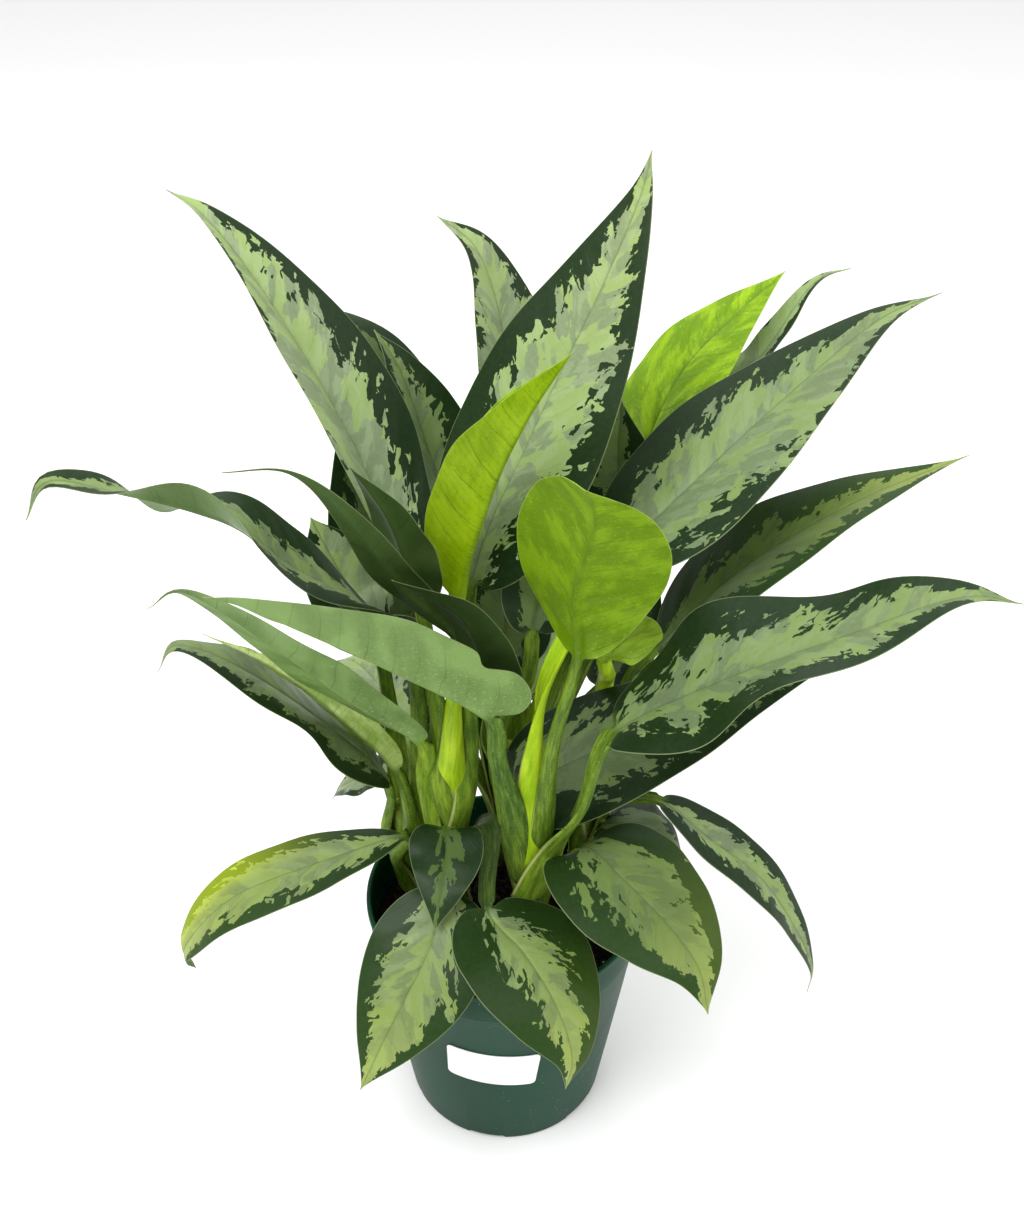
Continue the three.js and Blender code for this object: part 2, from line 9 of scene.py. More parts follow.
# %% Open the frame and keep its box
import itertools
import math
from types import SimpleNamespace
import bpy
import numpy as np
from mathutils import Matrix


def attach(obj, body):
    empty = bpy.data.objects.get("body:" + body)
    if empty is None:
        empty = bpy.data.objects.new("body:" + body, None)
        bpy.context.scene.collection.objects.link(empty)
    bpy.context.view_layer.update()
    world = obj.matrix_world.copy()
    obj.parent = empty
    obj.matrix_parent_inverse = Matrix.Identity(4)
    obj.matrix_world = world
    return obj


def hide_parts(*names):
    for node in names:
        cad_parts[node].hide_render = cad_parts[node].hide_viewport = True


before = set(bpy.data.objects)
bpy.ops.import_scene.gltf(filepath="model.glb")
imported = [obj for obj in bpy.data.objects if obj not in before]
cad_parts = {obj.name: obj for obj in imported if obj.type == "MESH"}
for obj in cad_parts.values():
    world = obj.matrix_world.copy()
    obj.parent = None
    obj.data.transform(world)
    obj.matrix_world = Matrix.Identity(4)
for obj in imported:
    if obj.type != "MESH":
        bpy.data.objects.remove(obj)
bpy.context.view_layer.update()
MM = 0.001  # lengths below are in millimetres, as on the drawing, and Blender's are in metres
print("nodes in the frame:", len(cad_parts))

# %% [markdown]
# ## Camera and light
#
# The plant is looked down on from a little above its crown. A lens of about 38 mm gives the same
# perspective as a phone held half a metre away. The light is soft and comes mostly from above, as in a
# studio tent: an even sky, a very wide lamp overhead, a smaller one above the viewer's left shoulder, and
# two weak ones from the right and from behind. The leaves keep a gentle sheen, and the inside of the bush
# stays dark.

# %% Camera
PICTURE_HEIGHT = 1215
FOCAL_PIXELS = 1300
LOOK_DOWN = 34.2
CAMERA_PLACE = (0.0038, -0.506, 0.676)
camera_data = bpy.data.cameras.new("camera")
camera_data.lens = camera_data.sensor_width * FOCAL_PIXELS / PICTURE_HEIGHT
camera = bpy.data.objects.new("camera", camera_data)
camera.location = CAMERA_PLACE
camera.rotation_euler = (math.radians(90 - LOOK_DOWN), 0, 0)
bpy.context.scene.collection.objects.link(camera)
bpy.context.scene.camera = camera
print("lens:", round(camera_data.lens, 2), "mm")

# %% Light
PLANT_MIDDLE = np.array((0, 0, 0.25))
bpy.context.scene.view_settings.view_transform = "Standard"
sky = bpy.data.worlds.new("sky")
sky.use_nodes = True
sky.node_tree.nodes["Background"].inputs["Color"].default_value = (1, 1, 1, 1)
sky.node_tree.nodes["Background"].inputs["Strength"].default_value = 0.7
bpy.context.scene.world = sky


def lamp(name, place, size, watts):
    """A square lamp of that size at that place, turned to shine at the middle of the plant."""
    data = bpy.data.lights.new(name, "AREA")
    data.size = size
    data.energy = watts
    made = bpy.data.objects.new(name, data)
    made.location = place
    aim = PLANT_MIDDLE - place
    turn = math.atan2(aim[0], -aim[1])
    tip = math.atan2(math.hypot(aim[0], aim[1]), -aim[2])
    made.rotation_euler = (tip, 0, turn + math.pi)
    bpy.context.scene.collection.objects.link(made)


lamp("key", (-0.7, -0.8, 1.9), 1.1, 28)
lamp("top", (0, 0, 5), 8, 170)
lamp("side", (1.5, -0.3, 1.3), 1.2, 7)
lamp("back", (0.2, 1.6, 1.5), 1.4, 8)
print("lamps: key, top, side, back")

# %% [markdown]
# ## Shader maths as Python sums
#
# A finish is a network of nodes. Written out link by link it is hard to read, so one small class wraps a
# socket: a sum of two sockets adds a Math node, and any other node comes from one method. Colours go
# through Mix nodes, because a Math node would turn them grey.


# %% A socket that can be reckoned with
class Term:
    """One socket of a node tree. The signs + - * / between terms or numbers add Math nodes."""

    def __init__(self, tree, socket=None):
        self.tree = tree
        self.socket = socket

    def node(self, kind, settings=None, values=None, out=0):
        """Adds a node: first its settings, then the value or link of each input. Gives the output named."""
        made = self.tree.nodes.new(kind)
        for key, value in (settings or {}).items():
            setattr(made, key, value)
        for key, value in (values or {}).items():
            if isinstance(value, Term):
                self.tree.links.new(value.socket, made.inputs[key])
            else:
                made.inputs[key].default_value = value
        return Term(self.tree, made.outputs[out])

    def maths(self, operation, *values):
        """A Math node with that operation on the values."""
        return self.node("ShaderNodeMath", {"operation": operation}, dict(enumerate(values)))

    def __add__(self, other):
        return self.maths("ADD", self, other)

    def __sub__(self, other):
        return self.maths("SUBTRACT", self, other)

    def __rsub__(self, other):
        return self.maths("SUBTRACT", other, self)

    def __mul__(self, other):
        return self.maths("MULTIPLY", self, other)

    def __truediv__(self, other):
        return self.maths("DIVIDE", self, other)

    def __abs__(self):
        return self.maths("ABSOLUTE", self)

    __radd__ = __add__
    __rmul__ = __mul__

    def step(self, low, high):
        """0 below low, 1 above high, and a smooth rise between them."""
        curve = {"interpolation_type": "SMOOTHSTEP"}
        return self.node("ShaderNodeMapRange", curve, {"Value": self, "From Min": low, "From Max": high})

    def mix(self, first, second):
        """The first colour where this mask is 0 and the second where it is 1."""
        return self.node("ShaderNodeMix", {"data_type": "RGBA"}, {0: self, 6: first, 7: second}, out=2)

    def split(self):
        """The three numbers of a vector."""
        sockets = self.node("ShaderNodeSeparateXYZ", values={0: self}).socket.node.outputs
        return [Term(self.tree, socket) for socket in sockets]

    def vector(self, x, y, z):
        """A vector of three terms or numbers."""
        return self.node("ShaderNodeCombineXYZ", values={0: x, 1: y, 2: z})

    def attribute(self, name):
        """A vector that is stored on the points of the mesh."""
        return self.node("ShaderNodeAttribute", {"attribute_name": name}, out="Vector")

    def noise(self, scale, detail=2.0, roughness=0.5):
        """Cloudy values round 0.5 over this vector."""
        sizes = {"Scale": scale, "Detail": detail, "Roughness": roughness}
        return self.node("ShaderNodeTexNoise", values={"Vector": self, **sizes})

    def cells(self, scale, ragged=1.0):
        """A different number from 0 to 1 in each cell of a cracked pattern over this vector."""
        sizes = {"Scale": scale, "Randomness": ragged}
        return self.node("ShaderNodeTexVoronoi", values={"Vector": self, **sizes}, out="Color").split()[0]


def ink(red, green, blue):
    """A screen colour, 0 to 255, as the light values that a shader takes."""
    screen = np.array((red, green, blue)) / 255
    light = np.where(screen <= 0.04045, screen / 12.92, ((screen + 0.055) / 1.055) ** 2.4)
    return (*light.tolist(), 1.0)


def finish_named(name, roughness=0.5, specular=0.5):
    """A new material with one principled shader. Gives the material, its shader and a term to start from."""
    material = bpy.data.materials.new(name)
    material.use_nodes = True
    shader = material.node_tree.nodes["Principled BSDF"]
    shader.inputs["Roughness"].default_value = roughness
    shader.inputs["Specular IOR Level"].default_value = specular
    return material, shader, Term(material.node_tree)


def feed(shader, **terms):
    """Links each term to the shader's socket of that name, with _ for a space."""
    for key, term in terms.items():
        term.tree.links.new(term.socket, shader.inputs[key.replace("_", " ")])


def bumped(term, height, strength, depth):
    """A normal that follows the height, whose full range is that deep in metres."""
    sizes = {"Strength": strength, "Distance": depth, "Height": height}
    return term.node("ShaderNodeBump", values=sizes)


print("a mid green is", [round(value, 3) for value in ink(77, 122, 69)])

# %% [markdown]
# ## The floor
#
# A plain pale floor carries the pot's shadow and is no part of the plant. A curved backdrop would hide its
# far edge. One wide square does the same here, because the camera looks down and never sees that edge. It
# lies a hair below the pot, so that the two faces don't flicker through each other.

# %% Floor
FLOOR_REACH = 9
FLOOR_DROP = 0.0002
floor_finish, floor_shader, _ = finish_named("floor_pale", roughness=0.9)
floor_shader.inputs["Base Color"].default_value = (0.93, 0.93, 0.93, 1)
floor_mesh = bpy.data.meshes.new("floor")
ways = ((-1, -1), (1, -1), (1, 1), (-1, 1))
floor_mesh.from_pydata([(x * FLOOR_REACH, y * FLOOR_REACH, -FLOOR_DROP) for x, y in ways], [], [(0, 1, 2, 3)])
floor_mesh.materials.append(floor_finish)
floor = bpy.data.objects.new("floor", floor_mesh)
bpy.context.scene.collection.objects.link(floor)
print("floor:", 2 * FLOOR_REACH, "m across")

# %% [markdown]
# ## From grids of points to pieces
#
# The leaf, the cane and the label are each a closed outline that is carried along a path, so each is a row
# of rings. One helper joins the rings with quads, closes both ends, and turns the faces outwards by looking
# at the sign of the volume. The pot and the soil are round, and a second helper turns them from a profile.


# %% Rings to a piece
def ring_faces(rows, count):
    """Quads between neighbouring rings of equal count, as an array of corner numbers."""
    i, j = np.meshgrid(np.arange(rows - 1), np.arange(count), indexing="ij")
    a = i * count + j
    b = i * count + (j + 1) % count
    return np.stack([a, b, b + count, a + count], -1).reshape(-1, 4)


def volume_of(points, quads):
    """Six times the signed volume inside a closed net of quads, from the triple products of its corners."""
    a, b, c, d = (points[quads[:, k]] for k in range(4))
    return np.einsum("ij,ij->", np.cross(a, b), c) + np.einsum("ij,ij->", np.cross(a, c), d)


def piece(name, points, faces, materials, attributes=None, smooth=True):
    """A mesh object at the origin from points in millimetres, faces and vector attributes on its points."""
    mesh = bpy.data.meshes.new(name)
    mesh.from_pydata((np.asarray(points) * MM).tolist(), [], faces)
    for key, values in (attributes or {}).items():
        layer = mesh.attributes.new(key, "FLOAT_VECTOR", "POINT")
        layer.data.foreach_set("vector", np.asarray(values, np.float32).ravel())
    for material in materials:
        mesh.materials.append(material)
    mesh.polygons.foreach_set("use_smooth", np.full(len(mesh.polygons), smooth))
    mesh.validate()
    made = bpy.data.objects.new(name, mesh)
    bpy.context.scene.collection.objects.link(made)
    return made


def skin(name, rings, materials, attributes=None):
    """A closed piece from an array of rings, rows by points by 3, with a flat face on the first and last."""
    rows, count = rings.shape[:2]
    points = rings.reshape(-1, 3)
    quads = ring_faces(rows, count)
    first = list(range(count))
    last = list(range((rows - 1) * count, rows * count))
    if volume_of(points - points.mean(0), quads) < 0:
        quads = quads[:, ::-1]
        last.reverse()
    else:
        first.reverse()
    flat = {key: values.reshape(-1, 3) for key, values in (attributes or {}).items()}
    return piece(name, points, [*quads.tolist(), first, last], materials, flat)


def dress(made, slot, *nodes):
    """The piece rides on the plant and stands for those solids, which it hides. The slot is not used."""
    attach(made, "root")
    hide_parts(*nodes)


def turned(name, profile, sides, materials):
    """A closed lathe piece: each (radius, height) of the profile goes round the upright axis.

    The profile starts and ends on the axis, and there the rings close in one point.
    """
    angle = np.arange(sides) * 2 * math.pi / sides
    radius, height = np.array(profile, float).T
    rings = np.stack([np.outer(radius, np.cos(angle)), np.outer(radius, np.sin(angle)),
                      np.outer(height, np.ones(sides))], -1)[1:-1]
    rows = len(rings)
    points = np.vstack([rings.reshape(-1, 3), [(0, 0, height[0])], [(0, 0, height[-1])]])
    low, high = rows * sides, rows * sides + 1
    quads = ring_faces(rows, sides).tolist()
    first = [(low, (j + 1) % sides, j) for j in range(sides)]
    top = (rows - 1) * sides
    last = [(high, top + j, top + (j + 1) % sides) for j in range(sides)]
    return piece(name, points, [*quads, *first, *last], materials)


print("helpers ready")

# %% [markdown]
# ## The pot
#
# A nursery pot is moulded in one piece: a tapering wall, a straight band under the rim, a rolled lip that
# makes the rim stiff, and drain slots in the corner of the base. It could be a cylinder with loops pulled
# about by hand. A lathe profile is quicker to read and gives a true circle, and a Boolean cut makes the
# slots, because they are the only places where the shell isn't round.

# %% Pot sizes
POT = dict(height=146, lip_radius=76.2, lip_height=4.5, lip_depth=2.6, collar_height=21, collar_step=1.2,
           base_radius=57, wall=1.6, floor=1.8)
DRAIN = dict(count=6, width=21, height=2.8, first_angle=-101)
BAND = POT["lip_radius"] - POT["lip_depth"] / 2  # outer radius of the collar's band at its top
COLLAR_FOOT = POT["height"] - POT["collar_height"]
LIP_FOOT = POT["height"] - POT["lip_height"]


def wall_radius(z):
    """Outer radius of the plain wall, which grows evenly from the base to the foot of the collar."""
    share = np.minimum(z, COLLAR_FOOT) / COLLAR_FOOT
    return POT["base_radius"] + (BAND - POT["collar_step"] - POT["base_radius"]) * share


print("wall below the collar:", wall_radius(COLLAR_FOOT), "mm")


# %% Pot profile
def arc(middle, radius, start, end, steps):
    """Points on a circle's arc between two angles in degrees."""
    turn = np.radians(np.linspace(start, end, steps))
    return [(middle[0] + radius * math.cos(a), middle[1] + radius * math.sin(a)) for a in turn]


FOOT_ROUND, UNDER_ROUND, LIP_ROUND, INNER_ROUND = 2, 1.1, 1.4, 0.9
# Each pair is a radius and a height: up the outside by the foot, the wall, the step below the collar, the
# band and the lip, then down the inside to the floor.
pot_profile = [
    (0, 0),
    (POT["base_radius"] - FOOT_ROUND, 0),
    *arc((POT["base_radius"] - FOOT_ROUND, FOOT_ROUND), FOOT_ROUND, -75, -5, 5),
    (wall_radius(40), 40),
    (wall_radius(80), 80),
    (wall_radius(COLLAR_FOOT - 1.6), COLLAR_FOOT - 1.6),
    (wall_radius(COLLAR_FOOT) + 0.25, COLLAR_FOOT - 0.9),
    (BAND - 0.6, COLLAR_FOOT - 0.2),
    (BAND - 0.4, COLLAR_FOOT + 0.6),
    (BAND - 0.2, COLLAR_FOOT + 9),
    (BAND, LIP_FOOT - 0.2),
    (BAND + 0.5, LIP_FOOT),
    *arc((POT["lip_radius"] - UNDER_ROUND, LIP_FOOT + 1.3), UNDER_ROUND, -60, 0, 5),
    *arc((POT["lip_radius"] - LIP_ROUND, POT["height"] - LIP_ROUND), LIP_ROUND, 0, 90, 8),
    *arc((POT["lip_radius"] - POT["lip_depth"] + INNER_ROUND, POT["height"] - INNER_ROUND),
         INNER_ROUND, 90, 180, 6),
    (BAND - POT["wall"] + 0.1, LIP_FOOT + 1),
    (BAND - POT["wall"], LIP_FOOT),
    (BAND - POT["wall"] - 0.4, COLLAR_FOOT),
    (wall_radius(COLLAR_FOOT) - POT["wall"], COLLAR_FOOT - 2),
    (wall_radius(60) - POT["wall"], 60),
    (wall_radius(POT["floor"] + 1) - POT["wall"], POT["floor"] + 1),
    (wall_radius(POT["floor"] + 1) - POT["wall"] - 1, POT["floor"]),
    (0, POT["floor"]),
]
print("profile points:", len(pot_profile))

# %% [markdown]
# ## The pot's plastic
#
# The plastic is a matt bottle green that scuffs pale where it rubs, with fine dust in the texture. The
# colour is nearly even, so the finish needs only slow clouds, a few pale specks, a fine grain in the gloss
# and a painted highlight on the lip. The pattern reads Object coordinates, because the pot has no direction
# of its own.

# %% Pot plastic
pot_finish, shader, start = finish_named("pot_green_plastic", specular=0.14)
where = start.node("ShaderNodeTexCoord", out="Object")
clouds = where.noise(18, 3, 0.6)
specks = where.noise(420, 2, 0.7).step(0.69, 0.74) * where.noise(14, 2, 0.5).step(0.45, 0.6)
scuffs = where.noise(90, 6, 0.75).step(0.6, 0.72) * clouds.step(0.5, 0.7)
height = where.split()[2]
# Painted highlight: the rolled lip, whose top faces the light, is painted a clearer, slightly brighter green.
lip_highlight = height.step(LIP_FOOT * MM, (LIP_FOOT + 1) * MM)
plastic = clouds.step(0.3, 0.7).mix(ink(8, 52, 34), ink(14, 62, 42))
plastic = (scuffs * 0.2).mix(plastic, ink(70, 112, 90))
plastic = (specks * 0.7).mix(plastic, ink(150, 172, 158))
plastic = lip_highlight.mix(plastic, ink(8, 62, 36))
feed(shader, Base_Color=plastic, Roughness=0.36 + clouds * 0.2,
     Normal=bumped(start, where.noise(700, 2, 0.5), 0.12, 0.0002))
print("pot nodes:", len(start.tree.nodes))

# %% Turn the pot and cut its drain slots
pot = turned("pot_shell", pot_profile, 192, [pot_finish])
SLOT_CORNER = 0.8
SHARP = math.radians(40)  # edges that turn more than this stay crisp
half, low, high = DRAIN["width"] / 2, -3, DRAIN["height"]
section = np.array([(-half, low), (half, low), (half, high - SLOT_CORNER), (half - SLOT_CORNER, high),
                    (SLOT_CORNER - half, high), (-half, high - SLOT_CORNER)])
near, far = POT["base_radius"] - 5, POT["base_radius"] + 7
slots = []
for k in range(DRAIN["count"]):
    angle = math.radians(DRAIN["first_angle"] + k * 360 / DRAIN["count"])
    out = np.array((math.cos(angle), math.sin(angle), 0))
    along = np.array((-out[1], out[0], 0))
    ring = section[:, :1] * along + section[:, 1:] * np.array((0, 0, 1))
    slots.append(skin(f"slot_{k}", np.stack([ring + out * near, ring + out * far]), [pot_finish]))
for cutter in slots:
    cut = pot.modifiers.new("slot", "BOOLEAN")
    cut.object = cutter
    cut.operation = "DIFFERENCE"
    cut.solver = "EXACT"
evaluated = pot.evaluated_get(bpy.context.evaluated_depsgraph_get())
shell = bpy.data.meshes.new_from_object(evaluated)
pot.modifiers.clear()
pot.data = shell
for cutter in slots:
    bpy.data.objects.remove(cutter)
shell.polygons.foreach_set("use_smooth", np.ones(len(shell.polygons), bool))
shell.set_sharp_from_angle(angle=SHARP)
dress(pot, "pot_plastic", "pot")
print("pot faces:", len(shell.polygons))

# %% [markdown]
# ## The label
#
# A blank white paper label is stuck on the wall a little askew. A flat plane would cut through the round
# wall, so the label is a row of upright slices, each at its own angle round the pot, with the corners
# rounded by cutting the first and last slices short.

# %% Label
LABEL = dict(width=50, height=29, corner=3, back=0.15, face=0.6, angle=-96, middle=77, tilt=4)
label_finish, shader, start = finish_named("label_white_paper", roughness=0.55)
where = start.node("ShaderNodeTexCoord", out="Object")
paper = where.noise(60, 3, 0.6).step(0.3, 0.8).mix(ink(252, 252, 251), ink(243, 243, 240))
feed(shader, Base_Color=paper)
half, corner = LABEL["width"] / 2, LABEL["corner"]
turn = np.radians(np.linspace(0, 90, 9))
ends = half - corner + corner * np.cos(turn)
cuts = corner * (1 - np.sin(turn))
straight = np.linspace(corner - half, half - corner, 40)[1:-1]
x = np.concatenate([-ends, straight, ends[::-1]])
cut = np.concatenate([cuts, np.zeros_like(straight), cuts[::-1]])
reach = LABEL["height"] / 2 - cut
y = np.stack([-reach, reach, reach, -reach], 1)
out = np.array([LABEL["back"], LABEL["back"], LABEL["face"], LABEL["face"]])
tilt = math.radians(LABEL["tilt"])
z = LABEL["middle"] + y * math.cos(tilt) - x[:, None] * math.sin(tilt)
across = x[:, None] * math.cos(tilt) + y * math.sin(tilt)
radius = wall_radius(z) + out
angle = math.radians(LABEL["angle"]) + across / wall_radius(LABEL["middle"])
label_rings = np.stack([radius * np.cos(angle), radius * np.sin(angle), z], -1)
label = skin("label_blank", label_rings, [label_finish])
label.data.set_sharp_from_angle(angle=SHARP)
dress(label, "label_paper", "label")
print("label slices:", len(label_rings))

# %% [markdown]
# ## Potting mix
#
# The mix is nearly black, damp peat with crumbs of bark and a few pale grains. It could be a flat disc with
# a bumpy finish, but that looks painted from the side. So the surface is a disc of rings whose heights come
# from the sum of many small waves in all directions, which looks like noise and gives the same result on
# every run.

# %% Soil finish
soil_finish, shader, start = finish_named("soil_dark_mix", roughness=1, specular=0.2)
where = start.node("ShaderNodeTexCoord", out="Object")
grain = where.noise(260, 4, 0.7)
fleck = where.noise(520, 2, 0.6).step(0.68, 0.72)
earth = grain.step(0.35, 0.7).mix(ink(6, 5, 5), ink(28, 22, 18))
earth = (fleck * 0.8).mix(earth, ink(120, 84, 58))
feed(shader, Base_Color=earth, Normal=bumped(start, grain, 0.7, 0.0012))
print("soil nodes:", len(start.tree.nodes))


# %% Lumps
def waves(x, y, seed, lengths, sizes):
    """A sum of sine waves in random directions: for each length and size, eight waves of that length."""
    chance = np.random.default_rng(seed)
    total = np.zeros_like(x)
    for length, size in zip(lengths, sizes):
        for _ in range(8):
            heading, phase = chance.uniform(0, 2 * math.pi, 2)
            run = x * math.cos(heading) + y * math.sin(heading)
            total += size / 3 * np.sin(2 * math.pi * run / length + phase)
    return total


SOIL_TOP, SOIL_BUMP, SOIL_GAP = 122, 1.4, 0.6
soil_rim = wall_radius(SOIL_TOP) - POT["wall"] - SOIL_GAP


def soil_height(x, y):
    """How far the soil's top stands over its mean: the slow swell of the solid and finer lumps."""
    radius, angle = np.hypot(x, y), np.arctan2(y, x)
    swell = np.sin(3 * angle + radius / 9) + 0.6 * np.sin(5 * angle - radius / 5)
    return SOIL_BUMP * swell * radius / soil_rim + waves(x, y, 3, (14, 6, 3), (0.8, 0.5, 0.35))


print("radius of the soil's top:", round(soil_rim, 1), "mm")

# %% Soil body
soil_low = POT["floor"] + 0.3
soil_foot = wall_radius(soil_low + 3) - POT["wall"] - SOIL_GAP
radii = np.concatenate([[0], np.linspace(0.02, 1, 60) * soil_rim])
soil_profile = [(0, soil_low), (soil_foot - 1.6, soil_low), (soil_foot, soil_low + 3),
                (soil_rim, SOIL_TOP - 1.2), *((radius, SOIL_TOP) for radius in radii[::-1])]
soil = turned("soil_surface", soil_profile, 160, [soil_finish])
points = np.empty(len(soil.data.vertices) * 3)
soil.data.vertices.foreach_get("co", points)
points = points.reshape(-1, 3) / MM
top = points[:, 2] > SOIL_TOP - 0.5
points[top, 2] = SOIL_TOP + soil_height(points[top, 0], points[top, 1])
soil.data.vertices.foreach_set("co", (points * MM).ravel())
soil.data.update()
dress(soil, "soil", "soil")
print("soil points:", len(points))

# %% [markdown]
# ## Crumbs on the soil
#
# Loose crumbs of bark and a few pale grains lie on top. Each is a small solid with twenty faces, pulled out
# of true by chance. Scattering one shape with a particle system would be quick as well, but then all the
# crumbs would be alike, and twenty faces each are so few that all of them fit in one mesh.


# %% Twenty faces
ONE_EDGE = 1.1  # a little over the edge of an icosahedron of radius 1


def twenty_faces():
    """Corners and outward faces of an icosahedron of radius 1.

    The corners are (0, 1, golden ratio) with either sign and in every turn of the three axes. Three corners
    make a face where all three are one edge apart.
    """
    ratio = (1 + math.sqrt(5)) / 2
    corners = np.array([(0, a, b * ratio) for a in (-1, 1) for b in (-1, 1)])
    corners = np.vstack([corners, corners[:, [1, 2, 0]], corners[:, [2, 0, 1]]]) / math.hypot(1, ratio)
    gaps = np.linalg.norm(corners[:, None] - corners[None], axis=-1)
    trios = np.array(list(itertools.combinations(range(len(corners)), 3)))
    faces = trios[(gaps[trios, np.roll(trios, 1, axis=1)] < ONE_EDGE).all(1)]
    a, b, c = (corners[faces[:, k]] for k in range(3))
    inward = np.einsum("ij,ij->i", np.cross(a, b), c) < 0
    faces[inward] = faces[inward][:, ::-1]
    return corners, faces


corners, faces = twenty_faces()
print("corners and faces of a crumb:", len(corners), len(faces))

# %% Crumb shapes
CRUMBS, SMALLEST, LARGEST = 620, 0.5, 2.6
chance = np.random.default_rng(11)
reach = np.sqrt(chance.uniform(0, 1, CRUMBS)) * (soil_rim - 3)
angle = chance.uniform(0, 2 * math.pi, CRUMBS)
size = np.minimum(SMALLEST + chance.gamma(2.0, 0.42, CRUMBS), LARGEST)
x, y = reach * np.cos(angle), reach * np.sin(angle)
middle = np.stack([x, y, SOIL_TOP + soil_height(x, y) + 0.25 * size], -1)
stretch = chance.uniform(0.55, 1.35, (CRUMBS, 1, 3)) * size[:, None, None]
turn = chance.uniform(0, 2 * math.pi, CRUMBS)
spin = np.zeros((CRUMBS, 3, 3))
spin[:, 0, 0] = spin[:, 1, 1] = np.cos(turn)
spin[:, 0, 1] = -np.sin(turn)
spin[:, 1, 0] = np.sin(turn)
spin[:, 2, 2] = 1
ragged = 1 + chance.uniform(-0.25, 0.25, (CRUMBS, len(corners), 1))
crumbs = np.einsum("nij,nkj->nki", spin, corners[None] * ragged * stretch) + middle[:, None]
joined = (np.arange(CRUMBS)[:, None, None] * len(corners) + faces[None]).reshape(-1, 3)
shade = np.repeat(chance.uniform(0, 1, (CRUMBS, 1, 3)), len(corners), axis=1)
print("middle size of a crumb:", round(float(np.median(size)), 2), "mm")

# %% Crumb finish and piece
crumb_finish, shader, start = finish_named("soil_crumbs", roughness=0.95, specular=0.1)
bark, tan, chalk = start.attribute("shade").split()
crumb = bark.step(0.2, 1.0).mix(ink(12, 9, 8), ink(52, 38, 27))
crumb = tan.step(0.95, 0.96).mix(crumb, ink(148, 112, 80))
crumb = chalk.step(0.975, 0.98).mix(crumb, ink(196, 188, 172))
feed(shader, Base_Color=crumb)
crumb_piece = piece("soil_crumbs", crumbs.reshape(-1, 3), joined.tolist(), [crumb_finish],
                    {"shade": shade.reshape(-1, 3)}, smooth=False)
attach(crumb_piece, "root")
print("crumbs:", CRUMBS, "faces:", len(joined))

# %% [markdown]
# ## Canes
#
# What looks like one thick stem is a short cane wrapped in the sheaths of its leaf stalks, one over the
# other. A smooth tube would look like a pipe, so the radius steps a little wherever a sheath's edge winds
# round the cane, and the same step is kept as an attribute, so that the finish can draw the edge's cream
# line.

# %% Cane sizes
CANES = {
    "cane_centre": dict(start=(10, 0, 84), end=(13, -13, 192), radius=7.5),
    "cane_left": dict(start=(-26, 14, 84), end=(-28, 4, 240), radius=7.5),
    "cane_far_left": dict(start=(-48, 28, 84), end=(-57, 21, 190), radius=6.5),
    "cane_right": dict(start=(36, 24, 84), end=(45, 18, 196), radius=6.5),
    "cane_back": dict(start=(2, 44, 84), end=(2, 52, 206), radius=7.5),
}
print("canes stand in the soil from", CANES["cane_centre"]["start"][2], "mm up")


# %% The green of stalks and canes
def stem_colour(start, round_it, along, seed, pale):
    """Streaks that run along a stalk: noise stretched lengthwise, deep green to yellow green, with specks.

    round_it and along are places in centimetres round and along the stalk. The colour goes from green to
    yellow as pale goes from 0 to 1.
    """
    fine = start.vector(round_it * 5, along * 0.5, seed).noise(1.6, 4, 0.6)
    broad = start.vector(round_it * 1.6, along * 0.3, seed).noise(1.1, 2, 0.5)
    fleck = start.vector(round_it * 5, along * 2.2, seed).noise(4.5, 2, 0.6).step(0.63, 0.7)
    green = broad.step(0.35, 0.68).mix(ink(54, 84, 24), ink(90, 122, 36))
    yellow = broad.step(0.35, 0.68).mix(ink(146, 186, 8), ink(184, 212, 32))
    colour = pale.mix(green, yellow)
    colour = (fine.step(0.42, 0.64) * (1 - pale * 0.6) * 0.55).mix(colour, ink(34, 60, 16))
    colour = ((1 - fine.step(0.3, 0.46)) * 0.25).mix(colour, ink(150, 174, 70))
    return (fleck * 0.4).mix(colour, ink(190, 204, 140)), fine


# %% Cane finish
CANE_FOOT = 12.3, 13.2  # height over the floor, in centimetres, where the brown of the soil ends
cane_finish, shader, start = finish_named("cane_green", specular=0.2)
round_it, along, edge = start.attribute("sheath").split()
colour, fine = stem_colour(start, round_it, along, 3.0, along.step(14.5, 22.0) * 0.45 + 0.08)
colour = (1 - along.step(*CANE_FOOT)).mix(colour, ink(70, 58, 34))
colour = (edge * 0.8).mix(colour, ink(205, 206, 148))
feed(shader, Base_Color=colour, Roughness=0.42 + fine * 0.2, Normal=bumped(start, fine, 0.35, 0.0004))
print("cane nodes:", len(start.tree.nodes))


# %% Build the canes
CANE_SIDES = 64
DOME_FROM = 0.94  # the share of a cane's length where its rounded top begins
SHEATH_TURN = 75  # millimetres that a sheath's edge climbs for each sheath round the cane


